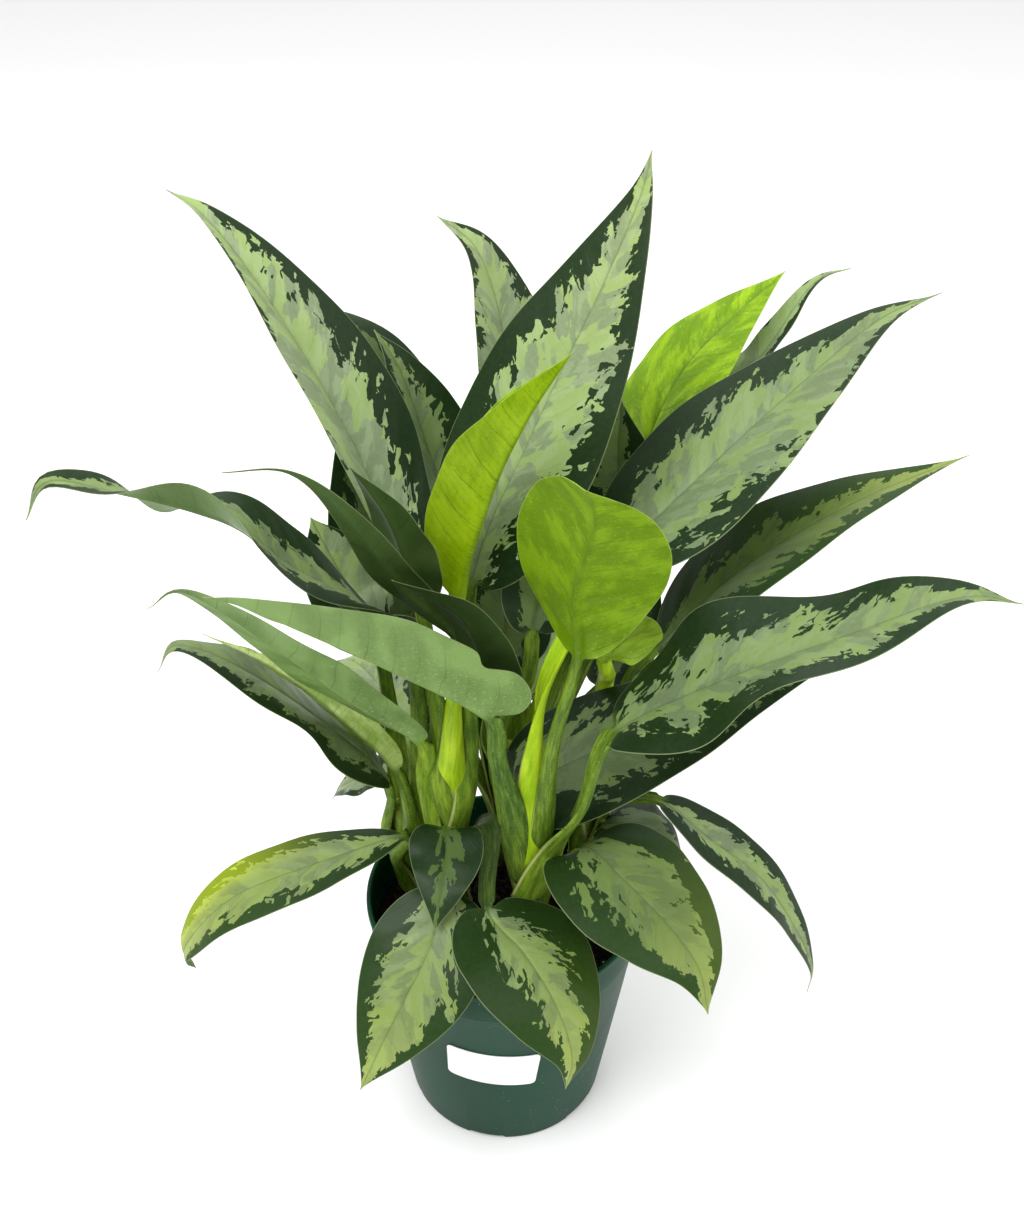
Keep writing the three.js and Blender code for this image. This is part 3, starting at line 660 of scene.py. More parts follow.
def cane_piece(name, cane, seed):
    """Rings round the straight line from the cane's foot to its top.

    radius = cane radius + swellings along it, the scars of old leaves, + a saw tooth round it that winds
    upwards, for two sheaths. The top closes in a dome.
    """
    first, last = np.array(cane["start"], float), np.array(cane["end"], float)
    axis = (last - first) / np.linalg.norm(last - first)
    side = np.cross((0, 1, 0), axis)
    side /= np.linalg.norm(side)
    depth = np.cross(axis, side)
    cap = np.sin(np.linspace(0.1, 1, 12) * math.pi / 2)
    up = np.concatenate([np.linspace(0, DOME_FROM, 90), DOME_FROM + (1 - DOME_FROM) * cap])
    angle = np.arange(CANE_SIDES) * 2 * math.pi / CANE_SIDES
    dome = np.sqrt(np.clip(1 - ((up - DOME_FROM) / 0.064).clip(0) ** 2, 0.01, 1))
    scars = 0.5 * np.exp(-((((up * 9.3 + seed) % 1) - 0.5) / 0.09) ** 2) * (up < 0.9)
    height = first[2] + up * (last[2] - first[2])
    wind = angle[None] / math.pi + height[:, None] / SHEATH_TURN + seed * 0.37
    saw = wind % 1
    radius = (cane["radius"] - 0.5 + scars[:, None] + 0.75 * saw ** 2) * dome[:, None]
    middle = first + up[:, None] * (last - first)
    rings = middle[:, None] + radius[..., None] * (
        np.cos(angle)[None, :, None] * side + np.sin(angle)[None, :, None] * depth)
    edge = np.exp(-((1 - saw) / 0.06) ** 2) + np.exp(-(saw / 0.03) ** 2) * 0.3
    around = np.broadcast_to(np.sin(angle) * cane["radius"] / 10 + np.cos(2 * angle) * 0.3, radius.shape)
    sheath = np.stack([around, np.broadcast_to(height[:, None] / 10, radius.shape), edge], -1)
    dress(skin(name + "_sheaths", rings, [cane_finish], {"sheath": sheath}), "stem_green", name)


for number, (name, cane) in enumerate(CANES.items()):
    cane_piece(name, cane, number)
print("canes:", len(CANES))

# %% [markdown]
# ## Leaves: where each one runs
#
# A leaf of this plant is one skin: a channelled stalk that springs from its cane, and a pointed blade
# folded along its midrib. Forty leaves could be copies of a few, but each would then miss its solid. So a
# table gives for each leaf the cane, the height and compass angle of its root there, the bends of the
# stalk, and the points that the midrib runs through. They are the drawing's own numbers, so the dressed
# leaf lies where the solid does. Width is the blade's widest part opened flat. Fold is how far each half
# rises, and roll turns the blade about its midrib at even steps from base to tip, both in degrees. Some
# leaves also have a wave along their edges, given by its height, its turns and where it begins, or a blade
# of a shape of their own: belly is the share of the length where it is widest, tail how soon it narrows,
# and lobe how far its base reaches back.

# %% The leaves
LEAVES = {
    # the tall leaves of the crown
    "leaf_tall_centre": dict(
        cane="cane_left", root=(210, 50), width=82, fold=12, roll=(-20, -15),
        blade=[(-16, 25, 328), (14, 45, 402), (44, 60, 465), (60, 70, 502), (65, 76, 522)]),
    "leaf_tall_left": dict(
        cane="cane_left", root=(210, 115), width=70, fold=33, belly=0.42,
        blade=[(-42, 30, 317), (-65, 46, 376), (-86, 56, 421), (-111, 64, 465), (-133, 71, 494),
               (-150, 76, 505)]),
    "leaf_tall_right": dict(
        cane="cane_centre", root=(168, -105), width=79, fold=15, roll=(-10, 0), belly=0.33, tail=1.5,
        stalk=[(15, -23, 272), (20, -15, 302)],
        blade=[(51, 23, 339), (94, 43, 379), (140, 64, 416), (177, 78, 443), (208, 88, 453)]),
    "leaf_tall_back": dict(
        cane="cane_back", root=(188, 65), width=60, fold=18,
        blade=[(4, 88, 358), (0, 104, 420), (-12, 112, 463), (-32, 112, 482)]),
    "leaf_back_left_upper": dict(
        cane="cane_back", root=(170, 145), width=58, fold=20,
        blade=[(-34, 80, 327), (-55, 108, 388), (-84, 120, 422), (-116, 122, 428)]),
    "leaf_back_left_middle": dict(
        cane="cane_back", root=(184, 115), width=60, fold=25,
        blade=[(-21, 71, 314), (-39, 91, 368), (-53, 107, 405), (-66, 116, 423)]),
    "leaf_back_left_lower": dict(
        cane="cane_back", root=(160, 175), width=62, fold=12,
        blade=[(-55, 70, 257), (-66, 82, 306), (-74, 94, 349), (-82, 104, 396)]),
    "leaf_back_centre": dict(
        cane="cane_back", root=(198, 180), width=50, fold=15, roll=(20, 20),
        blade=[(-3, 55, 257), (0, 60, 283), (-2, 65, 305), (-8, 70, 327)]),
    "leaf_back_narrow": dict(
        cane="cane_back", root=(186, -130), width=40, fold=30, stalk=[(2, 36, 238), (12, 27, 272)],
        blade=[(14, 20, 304), (17, 30, 325), (19, 38, 345), (12, 44, 362)]),
    "leaf_back_right_upper": dict(
        cane="cane_back", root=(176, -15), width=50, fold=20,
        blade=[(54, 80, 333), (58, 85, 354), (58, 89, 375), (59, 93, 395)]),
    "leaf_back_right_lower": dict(
        cane="cane_back", root=(150, 10), width=56, fold=12,
        blade=[(53, 78, 223), (67, 85, 253), (77, 92, 282), (82, 96, 304)]),
    "leaf_back_right_slim": dict(
        cane="cane_back", root=(166, 15), width=20, fold=25,
        blade=[(102, 110, 370), (136, 130, 406), (159, 142, 437), (180, 150, 443)]),
    # the young yellow-green leaves
    "leaf_young_rolled": dict(
        cane="cane_left", root=(232, -82), width=52, fold=66, belly=0.42, young=True,
        blade=[(-21, 5, 333), (-7, 0, 390), (9, -10, 432), (28, -18, 468)]),
    "leaf_young_heart": dict(
        cane="cane_centre", root=(178, -58), width=68, fold=22, roll=(24, 24), belly=0.45, tail=1, lobe=0.6,
        young=True, stalk=[(20, -26, 222), (23, -26, 268)],
        blade=[(34, -25, 320), (31, -42, 365), (35, -80, 420), (32, -108, 450), (28, -130, 467)]),
    "leaf_young_back": dict(
        cane="cane_back", root=(178, 45), width=66, fold=10, young=True,
        blade=[(71, 102, 356), (91, 119, 397), (118, 131, 424), (143, 137, 446)]),
    "leaf_young_small": dict(
        cane="cane_right", root=(176, 110), width=38, fold=10, roll=(20, 20), young=True,
        stalk=[(54, 56, 244), (53, 26, 272)],
        blade=[(49, 8, 296), (55, 4, 309), (60, -3, 322), (56, -11, 339)]),
    # the right side
    "leaf_right_upper": dict(
        cane="cane_right", root=(168, 60), width=66, fold=18, tail=1.5,
        stalk=[(66, 60, 238), (72, 50, 262)],
        blade=[(77, 30, 286), (116, 35, 330), (167, 40, 365), (221, 45, 389)]),
    "leaf_right_long": dict(
        cane="cane_centre", root=(168, -25), width=72, fold=22, roll=(-20, -5), wave=(7, 2.2, 0.1),
        stalk=[(29, -24, 208), (39, -31, 236)],
        blade=[(52, -28, 278), (97, -45, 323), (150, -60, 361), (185, -68, 383), (209, -74, 384)]),
    "leaf_right_wide": dict(
        cane="cane_centre", root=(148, 75), width=74, fold=8, roll=(-18, -10), belly=0.27, tail=1.2,
        blade=[(9, 7, 207), (48, 14, 232), (116, 20, 262), (165, 15, 289)]),
    "leaf_right_tucked": dict(
        cane="cane_right", root=(146, -60), width=52, fold=8, roll=(10, 5),
        blade=[(52, 6, 186), (71, 0, 190), (87, -6, 182), (97, -10, 166)]),
    "leaf_right_drooping": dict(
        cane="cane_right", root=(184, -15), width=34, fold=15,
        blade=[(81, 6, 205), (109, -5, 187), (136, -16, 169), (156, -26, 141), (166, -33, 118),
               (165, -37, 104)]),
    # the left side
    "leaf_left_twisted": dict(
        cane="cane_left", root=(196, 150), width=44, fold=22, roll=(-40, -5, 12, 6, -50, 12, 20),
        stalk=[(-42, 9, 262), (-46, 1, 302)],
        blade=[(-51, -6, 323), (-72, -14, 348), (-94, -24, 371), (-110, -34, 395), (-127, -44, 410),
               (-154, -54, 424), (-177, -60, 432), (-188, -62, 416)]),
    "leaf_left_arched": dict(
        cane="cane_left", root=(206, -45), width=22, fold=15, roll=(-35, -45), tail=2.2,
        stalk=[(-18, 2, 265)],
        blade=[(-18, -6, 312), (-44, -24, 358), (-64, -46, 408), (-82, -60, 436), (-106, -71, 442)]),
    "leaf_left_inner": dict(
        cane="cane_left", root=(214, -125), width=30, fold=20, roll=(-50, -50), stalk=[(-33, -3, 270)],
        blade=[(-39, -2, 334), (-43, -7, 358), (-51, -9, 386), (-66, -10, 412)]),
    "leaf_left_small": dict(
        cane="cane_far_left", root=(182, 90), width=46, fold=10, roll=(10, 25), belly=0.42,
        blade=[(-66, 38, 294), (-77, 44, 311), (-87, 50, 329), (-97, 57, 348)]),
    "leaf_left_folded": dict(
        cane="cane_far_left", root=(172, 0), width=40, fold=20, roll=(-40, -40),
        blade=[(-47, 20, 294), (-62, 15, 309), (-74, 12, 321), (-83, 11, 329)]),
    "leaf_left_grey": dict(
        cane="cane_left", root=(176, -165), width=40, fold=15, roll=(-40, -45), stalk=[(-42, -1, 226)],
        blade=[(-41, -12, 260), (-73, -23, 296), (-102, -39, 338), (-133, -51, 374), (-148, -58, 371)]),
    "leaf_left_front": dict(
        cane="cane_centre", root=(152, -170), width=70, fold=28, roll=(-38, -42), lobe=1.2,
        stalk=[(3, -24, 230), (-4, -27, 262)],
        blade=[(-7, -33, 293), (-45, -52, 333), (-83, -72, 370), (-103, -84, 390), (-115, -90, 398)]),
    "leaf_left_lower": dict(
        cane="cane_far_left", root=(156, -175), width=53, fold=7, roll=(7, 0), wave=(3.5, 2.2, 0.8),
        blade=[(-62, 12, 214), (-97, 0, 269), (-130, -12, 309), (-152, -18, 323), (-161, -22, 311)]),
    "leaf_left_pale": dict(
        cane="cane_far_left", root=(164, -60), width=30, fold=20, roll=(-35, -35),
        blade=[(-57, 12, 221), (-79, -2, 266), (-107, -16, 308), (-136, -28, 337)]),
    "leaf_left_tiny": dict(
        cane="cane_far_left", root=(136, 120), width=30, fold=20, roll=(20, 20),
        blade=[(-69, 66, 164), (-84, 78, 156), (-98, 86, 143), (-107, 90, 128)]),
    "leaf_centre_dark": dict(
        cane="cane_centre", root=(176, 160), width=36, fold=20, roll=(-15, -35), stalk=[(-4, -10, 245)],
        blade=[(-4, -20, 288), (-9, -28, 322), (-20, -37, 354), (-47, -47, 378)]),
    # the low leaves that hang over the rim
    "leaf_low_left": dict(
        cane="cane_far_left", root=(144, -130), width=44, fold=10, belly=0.5, tail=0.85,
        blade=[(-53, -2, 187), (-97, -20, 185), (-140, -36, 176), (-166, -46, 150), (-162, -48, 136)]),
    "leaf_low_small": dict(
        cane="cane_left", root=(176, -80), width=38, fold=8, belly=0.26,
        blade=[(-30, -12, 202), (-30, -30, 198), (-32, -46, 190), (-35, -58, 175)]),
    "leaf_low_front_left": dict(
        cane="cane_left", root=(148, -95), width=60, fold=8, roll=(20, 10),
        blade=[(-30, -34, 179), (-38, -60, 164), (-58, -85, 133), (-73, -98, 103)]),
    "leaf_low_front": dict(
        cane="cane_left", root=(176, -15), width=68, fold=8, roll=(8, 4), lobe=0.5, stalk=[(-7, -14, 204)],
        blade=[(-9, -44, 178), (10, -69, 171), (25, -89, 158), (33, -104, 139), (30, -112, 123)]),
    "leaf_low_front_right": dict(
        cane="cane_centre", root=(148, 0), width=74, fold=8, lobe=0.7,
        blade=[(41, -19, 195), (59, -44, 198), (80, -66, 189), (94, -82, 177), (99, -95, 158)]),
    # the low leaves at the back
    "leaf_rear_left": dict(
        cane="cane_far_left", root=(152, 60), width=58, fold=10,
        blade=[(-56, 66, 192), (-72, 98, 206), (-92, 130, 204), (-108, 152, 188)]),
    "leaf_rear": dict(
        cane="cane_back", root=(150, 80), width=60, fold=12,
        blade=[(12, 84, 210), (18, 116, 234), (24, 150, 244), (30, 178, 236)]),
    "leaf_rear_right": dict(
        cane="cane_right", root=(150, 85), width=58, fold=10,
        blade=[(52, 58, 186), (74, 88, 202), (96, 118, 202), (112, 140, 186)]),
}
print("leaves:", len(LEAVES))

# %% [markdown]
# ## How each leaf is marked
#
# No two leaves carry the same pattern. The silver zone may fill most of one half and stop early on the
# other, old leaves near the rim turn a warmer green, and the newest are yellow green all over. Leaves in the
# shade of others are darkened with painted shade. Four numbers a leaf are enough: how far the silver reaches
# across the left half and across the right half, how warm the leaf is, and how much painted shade it gets,
# where a number below 0 paints light onto the lower side and makes it paler. For a young leaf the last one
# is how brightly its lower side is painted, from shaded to lit. Two short tables add what only a few leaves
# have: a stalk of another colour, and a half that turns golden with age.

# %% Silver left, silver right, warmth, painted shade
MARKS = {
    "leaf_tall_centre": (0.52, 0.56, 0.2, 0), "leaf_tall_left": (1.0, 0.56, 0.1, 0),
    "leaf_tall_right": (0.50, 0.78, 0.1, 0.85), "leaf_tall_back": (0.8, 0.7, 0.15, 0.1),
    "leaf_back_left_upper": (0.35, 0.35, 0.1, 1.6), "leaf_back_left_middle": (0.5, 0.4, 0.1, 1.1),
    "leaf_back_left_lower": (0.5, 0.5, 0.1, 1.6), "leaf_back_centre": (0.5, 0.5, 0.2, 1.5),
    "leaf_back_narrow": (0.5, 0.5, 0.2, 1.5), "leaf_back_right_upper": (0.4, 0.4, 0.1, 1.3),
    "leaf_back_right_lower": (0.4, 0.4, 0.3, 1.2), "leaf_back_right_slim": (0.9, 0.5, 0, 0.3),
    "leaf_young_rolled": (0, 0, 0, 0.75), "leaf_young_heart": (0, 0, 0, 0.25),
    "leaf_young_back": (0, 0, 0, 0.5), "leaf_right_upper": (0.38, 0.64, 0.9, 1.5),
    "leaf_right_long": (0.5, 0.54, 0.1, 0.95), "leaf_right_wide": (0.56, 0.62, 0.1, 1.15),
    "leaf_right_tucked": (0.5, 0.5, 0.2, 1.2), "leaf_right_drooping": (0.5, 0.4, 0.2, 0.6),
    "leaf_left_twisted": (0.5, 0.4, 0.1, 0.95), "leaf_left_arched": (0.5, 0.5, 0.1, 1.5),
    "leaf_left_inner": (0.5, 0.5, 0.3, 1.7), "leaf_left_small": (0.4, 0.9, 0.1, 0.3),
    "leaf_left_folded": (0.4, 0.4, 0.3, 1.4), "leaf_left_grey": (0.5, 0.5, 0.1, 0.4),
    "leaf_left_front": (0.5, 0.5, 0.1, -0.1), "leaf_left_lower": (0.52, 1.3, 0.1, 0.9),
    "leaf_left_pale": (0, 0, 2, 0.3), "leaf_centre_dark": (0.3, 0.3, 0.1, 1.9),
    "leaf_low_left": (0.62, 0.56, 0.9, 0.6), "leaf_low_small": (0.3, 0.26, 0.2, 1.8),
    "leaf_low_front_left": (0.56, 0.5, 0.75, 0.7), "leaf_low_front": (0.42, 0.34, 0.8, 0.7),
    "leaf_low_front_right": (0.54, 0.48, 0.8, 1.3),
}
USUAL_MARKS = (0.55, 0.55, 0.2, 0.45)
YOUNG_COLOURED = ["leaf_left_pale"]  # a grown leaf with the colours of a young one
# How yellow a stalk is, from 0 to 1. A number below 0 makes it a darker green.
STALK_YELLOW = {
    "leaf_tall_right": 1, "leaf_young_heart": 0.15, "leaf_left_front": 0, "leaf_left_grey": 0.4,
    "leaf_low_front": -0.9,
}
YOUNG_YELLOW, USUAL_YELLOW = 0.95, 0.2
# How golden a half of the blade is: the right half where the number is above 0, or else the left.
GOLDEN = {"leaf_low_left": 0.8, "leaf_low_front_right": -0.1, "leaf_low_front": -0.05}
print("leaves with marks of their own:", len(MARKS))

# %% [markdown]
# ## The blade as a surface of two numbers
#
# Along the leaf runs s, from 0 at the base of the blade to 1 at its tip, and across it runs t, from -1 at
# the left edge to 1 at the right. The midrib is a smooth curve through the table's points. At each s the
# blade has a width, a fold, a slight bow towards the edges and a gentle ripple, and both faces are this
# same surface shifted up or down by half the thickness, with the midrib standing out below. Shaping a plane
# by hand forty times would take a day, and the forty would drift from the drawing.

# %% Sizes shared by all leaves
# Of a blade: where it is widest, how soon it narrows, how far a half bows, how far the base reaches back, and
# how thick it is at the midrib and at the edge.
BLADE = dict(belly=0.36, tail=1.25, bow=0.15, lobe=0.35, middle=0.8, rim=0.34)
# Of a stalk: its half width at the blade and at the root, how far it climbs until it is clear of the cane,
# the gap there, and the share by which it widens into a sheath.
STALK = dict(tip=2.8, root=3.8, rise=12, stand_off=0.8, sheath=0.75)
VEIN_GAP = 15
SHEATH_LENGTH = 26
# Sheaths that close over the front of their cane: the point where each does, and the way its back faces.
WRAPS = {
    "leaf_left_front": ((10, -16, 168), -112), "leaf_right_long": ((14, -20, 160), -60),
    "leaf_tall_right": ((13, -19, 182), -98), "leaf_young_heart": ((18, -13, 178), -66),
}
# How many times as broad as thick a stalk is.
BROAD_STALKS = {
    "leaf_left_front": 1.75, "leaf_right_long": 2.2, "leaf_tall_right": 1.6, "leaf_young_heart": 1.05,
    "leaf_low_front": 1.6, "leaf_left_grey": 1.7,
}
USUAL_BROAD = 1.35
# Where a left edge dips: the middle of the dip, its depth and its reach, as shares.
NOTCHES = {"leaf_left_front": (0.29, 0.24, 0.045)}
NO_NOTCH = (0, 0, 1)
SPAN_STEPS, STALK_ROWS, BLADE_ROWS = 24, 34, 84
RIGHT_HALF = np.array([0, 0.018, 0.04, 0.07, 0.11, 0.16, 0.22, 0.29, 0.36, 0.44, 0.52, 0.6, 0.68, 0.76, 0.83,
                       0.89, 0.94, 0.975, 0.992, 1])
ACROSS = np.concatenate([-RIGHT_HALF[:0:-1], RIGHT_HALF])
print("points round a ring:", 2 * len(ACROSS))


# %% Curves
def catmull(points, fine=SPAN_STEPS):
    """The uniform Catmull-Rom curve through the points, its ends continued straight, fine steps a span."""
    points = np.asarray(points, float)
    padded = np.vstack([2 * points[0] - points[1], points, 2 * points[-1] - points[-2]])
    a, b, c, d = (padded[k:len(padded) - 3 + k, None] for k in range(4))
    u = np.linspace(0, 1, fine, endpoint=False)[None, :, None]
    square, cube = 2 * a - 5 * b + 4 * c - d, 3 * b - a - 3 * c + d
    spans = 0.5 * (2 * b + (c - a) * u + square * u ** 2 + cube * u ** 3)
    return np.vstack([spans.reshape(-1, points.shape[1]), points[-1:]])


def run_along(line):
    """The length of a polyline from its start to each of its points."""
    return np.concatenate([[0], np.cumsum(np.linalg.norm(np.diff(line, axis=0), axis=1))])


def spaced(line, shares):
    """Points of a polyline at the given shares of its length, and that length."""
    run = run_along(line)
    return np.stack([np.interp(shares * run[-1], run, line[:, k]) for k in range(3)], 1), run[-1]


def unit(vectors):
    """Vectors of the same directions and length 1."""
    return vectors / np.linalg.norm(vectors, axis=-1, keepdims=True)


def smooth_rise(values, low, high):
    """0 below low, 1 above high, and 3u^2 - 2u^3 between."""
    u = np.clip((values - low) / (high - low), 0, 1)
    return u * u * (3 - 2 * u)


tall = LEAVES["leaf_tall_centre"]
print("points on a curve through five:", len(catmull(tall["blade"])))


# %% Root of a stalk
def compass(angle):
    """The level direction at that many degrees from +X."""
    return np.array((math.cos(math.radians(angle)), math.sin(math.radians(angle)), 0))


def root_points(cane, height, angle):
    """Where the stalk starts inside its cane, and where it has come clear beside it, a little higher."""
    first, last = np.array(cane["start"], float), np.array(cane["end"], float)
    beside = cane["radius"] + STALK["root"] + STALK["stand_off"]
    shares = [(z - first[2]) / (last[2] - first[2]) for z in (height, height + STALK["rise"])]
    return [first + share * (last - first) + reach * compass(angle)
            for share, reach in zip(shares, (0.35 * cane["radius"], beside))]


print("a root beside its cane:", root_points(CANES["cane_left"], *tall["root"])[1].round(1))


# %% Midrib and its frames
def rolled(side, up, angle):
    """Both directions turned about the line, side towards up, by an angle in radians for each row."""
    cosine, sine = np.cos(angle)[:, None], np.sin(angle)[:, None]
    return side * cosine + up * sine, up * cosine - side * sine


def midrib(name, leaf):
    """The leaf's middle line, then on every row its heading, its side and its upward direction.

    The upward direction stays in the upright plane of the leaf's heading, and roll turns it about the midrib.
    At the root it turns away from the cane instead. The shares s of the blade's rows and its length follow.
    """
    inside, beside = root_points(CANES[leaf["cane"]], *leaf["root"])
    wrap, facing = WRAPS.get(name, (inside - (0, 0, SHEATH_LENGTH), leaf["root"][1]))
    stalk = leaf["stalk"] if name in WRAPS else [beside, *leaf.get("stalk", ())]
    blade = np.array(leaf["blade"], float)
    dense = catmull([*stalk, *blade])
    knee = SPAN_STEPS * len(stalk)
    lower, _ = spaced(np.vstack([wrap, dense[:knee + 1]]), np.linspace(0, 1, STALK_ROWS, endpoint=False))
    for _ in range(5):
        lower[1:-1] = 0.25 * lower[:-2] + 0.5 * lower[1:-1] + 0.25 * lower[2:]
    s = np.linspace(0, 1, BLADE_ROWS) ** 1.25
    upper, length = spaced(dense[knee:], s)
    line = np.vstack([lower, upper])
    tangent = unit(np.gradient(line, axis=0))
    for _ in range(2):
        tangent[1:-1] = unit(tangent[:-2] + 2 * tangent[1:-1] + tangent[2:])
    heading = unit((blade[-1] - blade[0]) * (1, 1, 0))
    pitch = np.arctan2(tangent[:, 2], tangent @ heading)
    up = -np.sin(pitch)[:, None] * heading + np.cos(pitch)[:, None] * np.array((0, 0, 1))
    up = unit(up - (up * tangent).sum(1)[:, None] * tangent)
    side = np.cross(tangent, up)
    inward = -compass(facing)
    turn = math.atan2(inward @ side[4], inward @ up[4])
    side, up = rolled(side, up, -turn * (1 - smooth_rise(np.arange(len(line)), 4, STALK_ROWS * 0.8)))
    rolls = leaf.get("roll", (0, 0))
    turns = catmull(np.array(rolls, float)[:, None], 40)[:, 0]
    roll = np.concatenate([rolls[0] * np.linspace(0, 1, STALK_ROWS),
                           np.interp(s, np.linspace(0, 1, len(turns)), turns)])
    return line, tangent, *rolled(side, up, np.radians(roll)), s, length


print("length of a tall blade:", round(midrib("leaf_tall_centre", tall)[-1]), "mm")


# %% Section of the blade
RIPPLES = (2.3, 4.1)  # waves along an edge


def blade_section(name, leaf, s, length, seed):
    """For rows s and columns t: places across, height of the middle surface, shift back, half width.

    half = width / 2 * s^power (1 - s)^tail, over that product's value at the belly.
    across = half * (|t| cos f + bow t^2 sin f), height = half * (|t| sin f - bow t^2 cos f) + ripple + veins.
    """
    chance = np.random.default_rng(seed)
    t = ACROSS[None]
    s = s[:, None]
    out = np.abs(t)
    belly, tail = leaf.get("belly", BLADE["belly"]), leaf.get("tail", BLADE["tail"])
    power = tail * belly / (1 - belly)
    share = np.clip(s, 0, 1) ** power * (1 - s) ** tail / (belly ** power * (1 - belly) ** tail)
    narrowest = np.maximum(STALK["tip"] * (1 - s) ** 2, 0.2 + 2.2 * (1 - s) ** 0.45)
    half = np.maximum(leaf["width"] / 2 * share, narrowest)
    height, turns, begin = leaf.get("wave", (0, 0, 0))
    phase = np.where(t > 0, begin, begin + 0.35)
    ripple = height * np.sin(2 * math.pi * (turns * s + phase)) * share * out ** 1.5
    for count in RIPPLES:
        own = np.where(t > 0, *chance.uniform(0, 1, 2))
        ripple = ripple + 1.7 / count * np.sin(2 * math.pi * (count * s + own)) * share * out ** 2.2
    flat = half * out
    vein = (s * length - 0.45 * flat - 0.02 * flat ** 2) / VEIN_GAP + 0.12 * np.where(t > 0, 1, -1)
    quilt = 0.22 * np.cos(2 * math.pi * vein) * smooth_rise(out, 0.04, 0.2)
    quilt = quilt * (1 - smooth_rise(out, 0.6, 0.95)) * np.clip(half / 25, 0, 1)
    place, deep, reach = NOTCHES.get(name, NO_NOTCH)
    cut = half * (1 - deep * np.exp(-((s - place) / reach) ** 2) * (t < 0) * out ** 2)
    fold, bow = math.radians(leaf["fold"]), BLADE["bow"] * t * t
    x = cut * np.sign(t) * (out * math.cos(fold) + bow * math.sin(fold))
    z = cut * (out * math.sin(fold) - bow * math.cos(fold)) + ripple + quilt
    back = leaf.get("lobe", BLADE["lobe"]) * half * t * t * (1 - s) ** 3
    return x, z, back, half


def blade_faces(leaf, x, z, s):
    """The upper and the lower face: the middle surface moved along its own upward direction.

    The blade is thickest at the midrib, which is a round rib below and a shallow groove above, and everything
    fades towards the tip.
    """
    t = ACROSS[None]
    fade = 1 - s[:, None]
    lean = math.radians(leaf["fold"]) * np.clip(np.abs(t) / 0.06, 0, 1) * np.sign(t)
    thick = (BLADE["rim"] + (BLADE["middle"] - BLADE["rim"]) * (1 - np.abs(t) ** 2.5)) * (0.45 + 0.55 * fade)
    rib = STALK["tip"] * fade ** 1.5 * np.exp(-(x / (0.5 + 1.9 * np.sqrt(fade))) ** 2)
    groove = 0.55 * fade ** 0.6 * np.exp(-(x / (0.35 + 0.75 * fade)) ** 2)
    lifts = (thick / 2 - groove, -thick / 2 - rib)
    return [(x - lift * np.sin(lean), z + lift * np.cos(lean)) for lift in lifts]


*_, half = blade_section("leaf_tall_centre", tall, np.linspace(0, 1, BLADE_ROWS), 200, 1)
print("half width of a tall blade:", round(half.max(), 1), "mm")


# %% Section of the stalk
def stalk_section(name, rows):
    """For the stalk's rows and that many of the blade: places across, lower heights, upper heights, and edge.

    The lower side is half a round whose edges rise as wings, height = -thin sin a + wing cos^2 a, and the
    upper side is a channel in it. Towards the root the stalk broadens into a sheath.
    """
    share = np.linspace(0, 1, STALK_ROWS)[:, None]
    thin = np.concatenate([STALK["root"] + (STALK["tip"] - STALK["root"]) * share,
                           np.full((rows, 1), STALK["tip"])])
    broad = thin.copy()
    sheath = STALK["sheath"] * (1 - smooth_rise(share, 0.15, 0.8))
    broad[:STALK_ROWS] *= BROAD_STALKS.get(name, USUAL_BROAD) + sheath
    wing = (broad / thin - 1) * 1.3
    angle = np.linspace(0, math.pi, len(ACROSS))[None]
    low = -thin * np.sin(angle) + wing * np.cos(angle) ** 2
    top = low + 0.9 + (1.1 * thin - 0.9) * np.sin(angle) ** 1.5
    return -np.cos(angle) * broad, low, top, broad[:STALK_ROWS] * (1 - np.abs(np.cos(angle)))


def leaf_rings(name, leaf, seed):
    """Rings of the whole leaf: the upper face from left to right and the lower face back again.

    With them come the places on the leaf opened flat, the distance to the edge, and the shares s of its rows.
    """
    line, tangent, side, up, s, length = midrib(name, leaf)
    t = ACROSS[None]
    x, z, back, half = blade_section(name, leaf, s, length, seed)
    round_x, round_low, round_top, stalk_rim = stalk_section(name, len(s))
    spread = smooth_rise(s, 0.0, 0.035)[:, None]  # the blade opens out of the stalk's section

    def grown(stalk, blade):
        return np.concatenate([stalk[:STALK_ROWS], spread * blade + (1 - spread) * stalk[STALK_ROWS:]])

    behind = np.concatenate([np.zeros((STALK_ROWS, t.shape[1])), spread * back])[..., None]
    rows = []
    for (face_x, face_z), round_z in zip(blade_faces(leaf, x, z, s), (round_top, round_low)):
        across, height = grown(round_x, face_x)[..., None], grown(round_z, face_z)[..., None]
        rows.append(line[:, None] + side[:, None] * across + up[:, None] * height - tangent[:, None] * behind)
    rings = np.concatenate([rows[0], rows[1][:, ::-1]], 1)
    stalk_run = run_along(line[:STALK_ROWS + 1])
    stalk_run = (stalk_run - stalk_run[-1])[:STALK_ROWS, None]
    flat_x = np.concatenate([round_x[:STALK_ROWS], half * t])
    flat_y = np.concatenate([stalk_run + 0 * t, s[:, None] * length - back])
    rim = np.concatenate([stalk_rim, half * (1 - np.abs(t)) + 40 * (1 - spread)])
    return rings, flat_x, flat_y, rim, s


print("rings of a leaf:", leaf_rings("leaf_tall_centre", tall, 1)[0].shape)


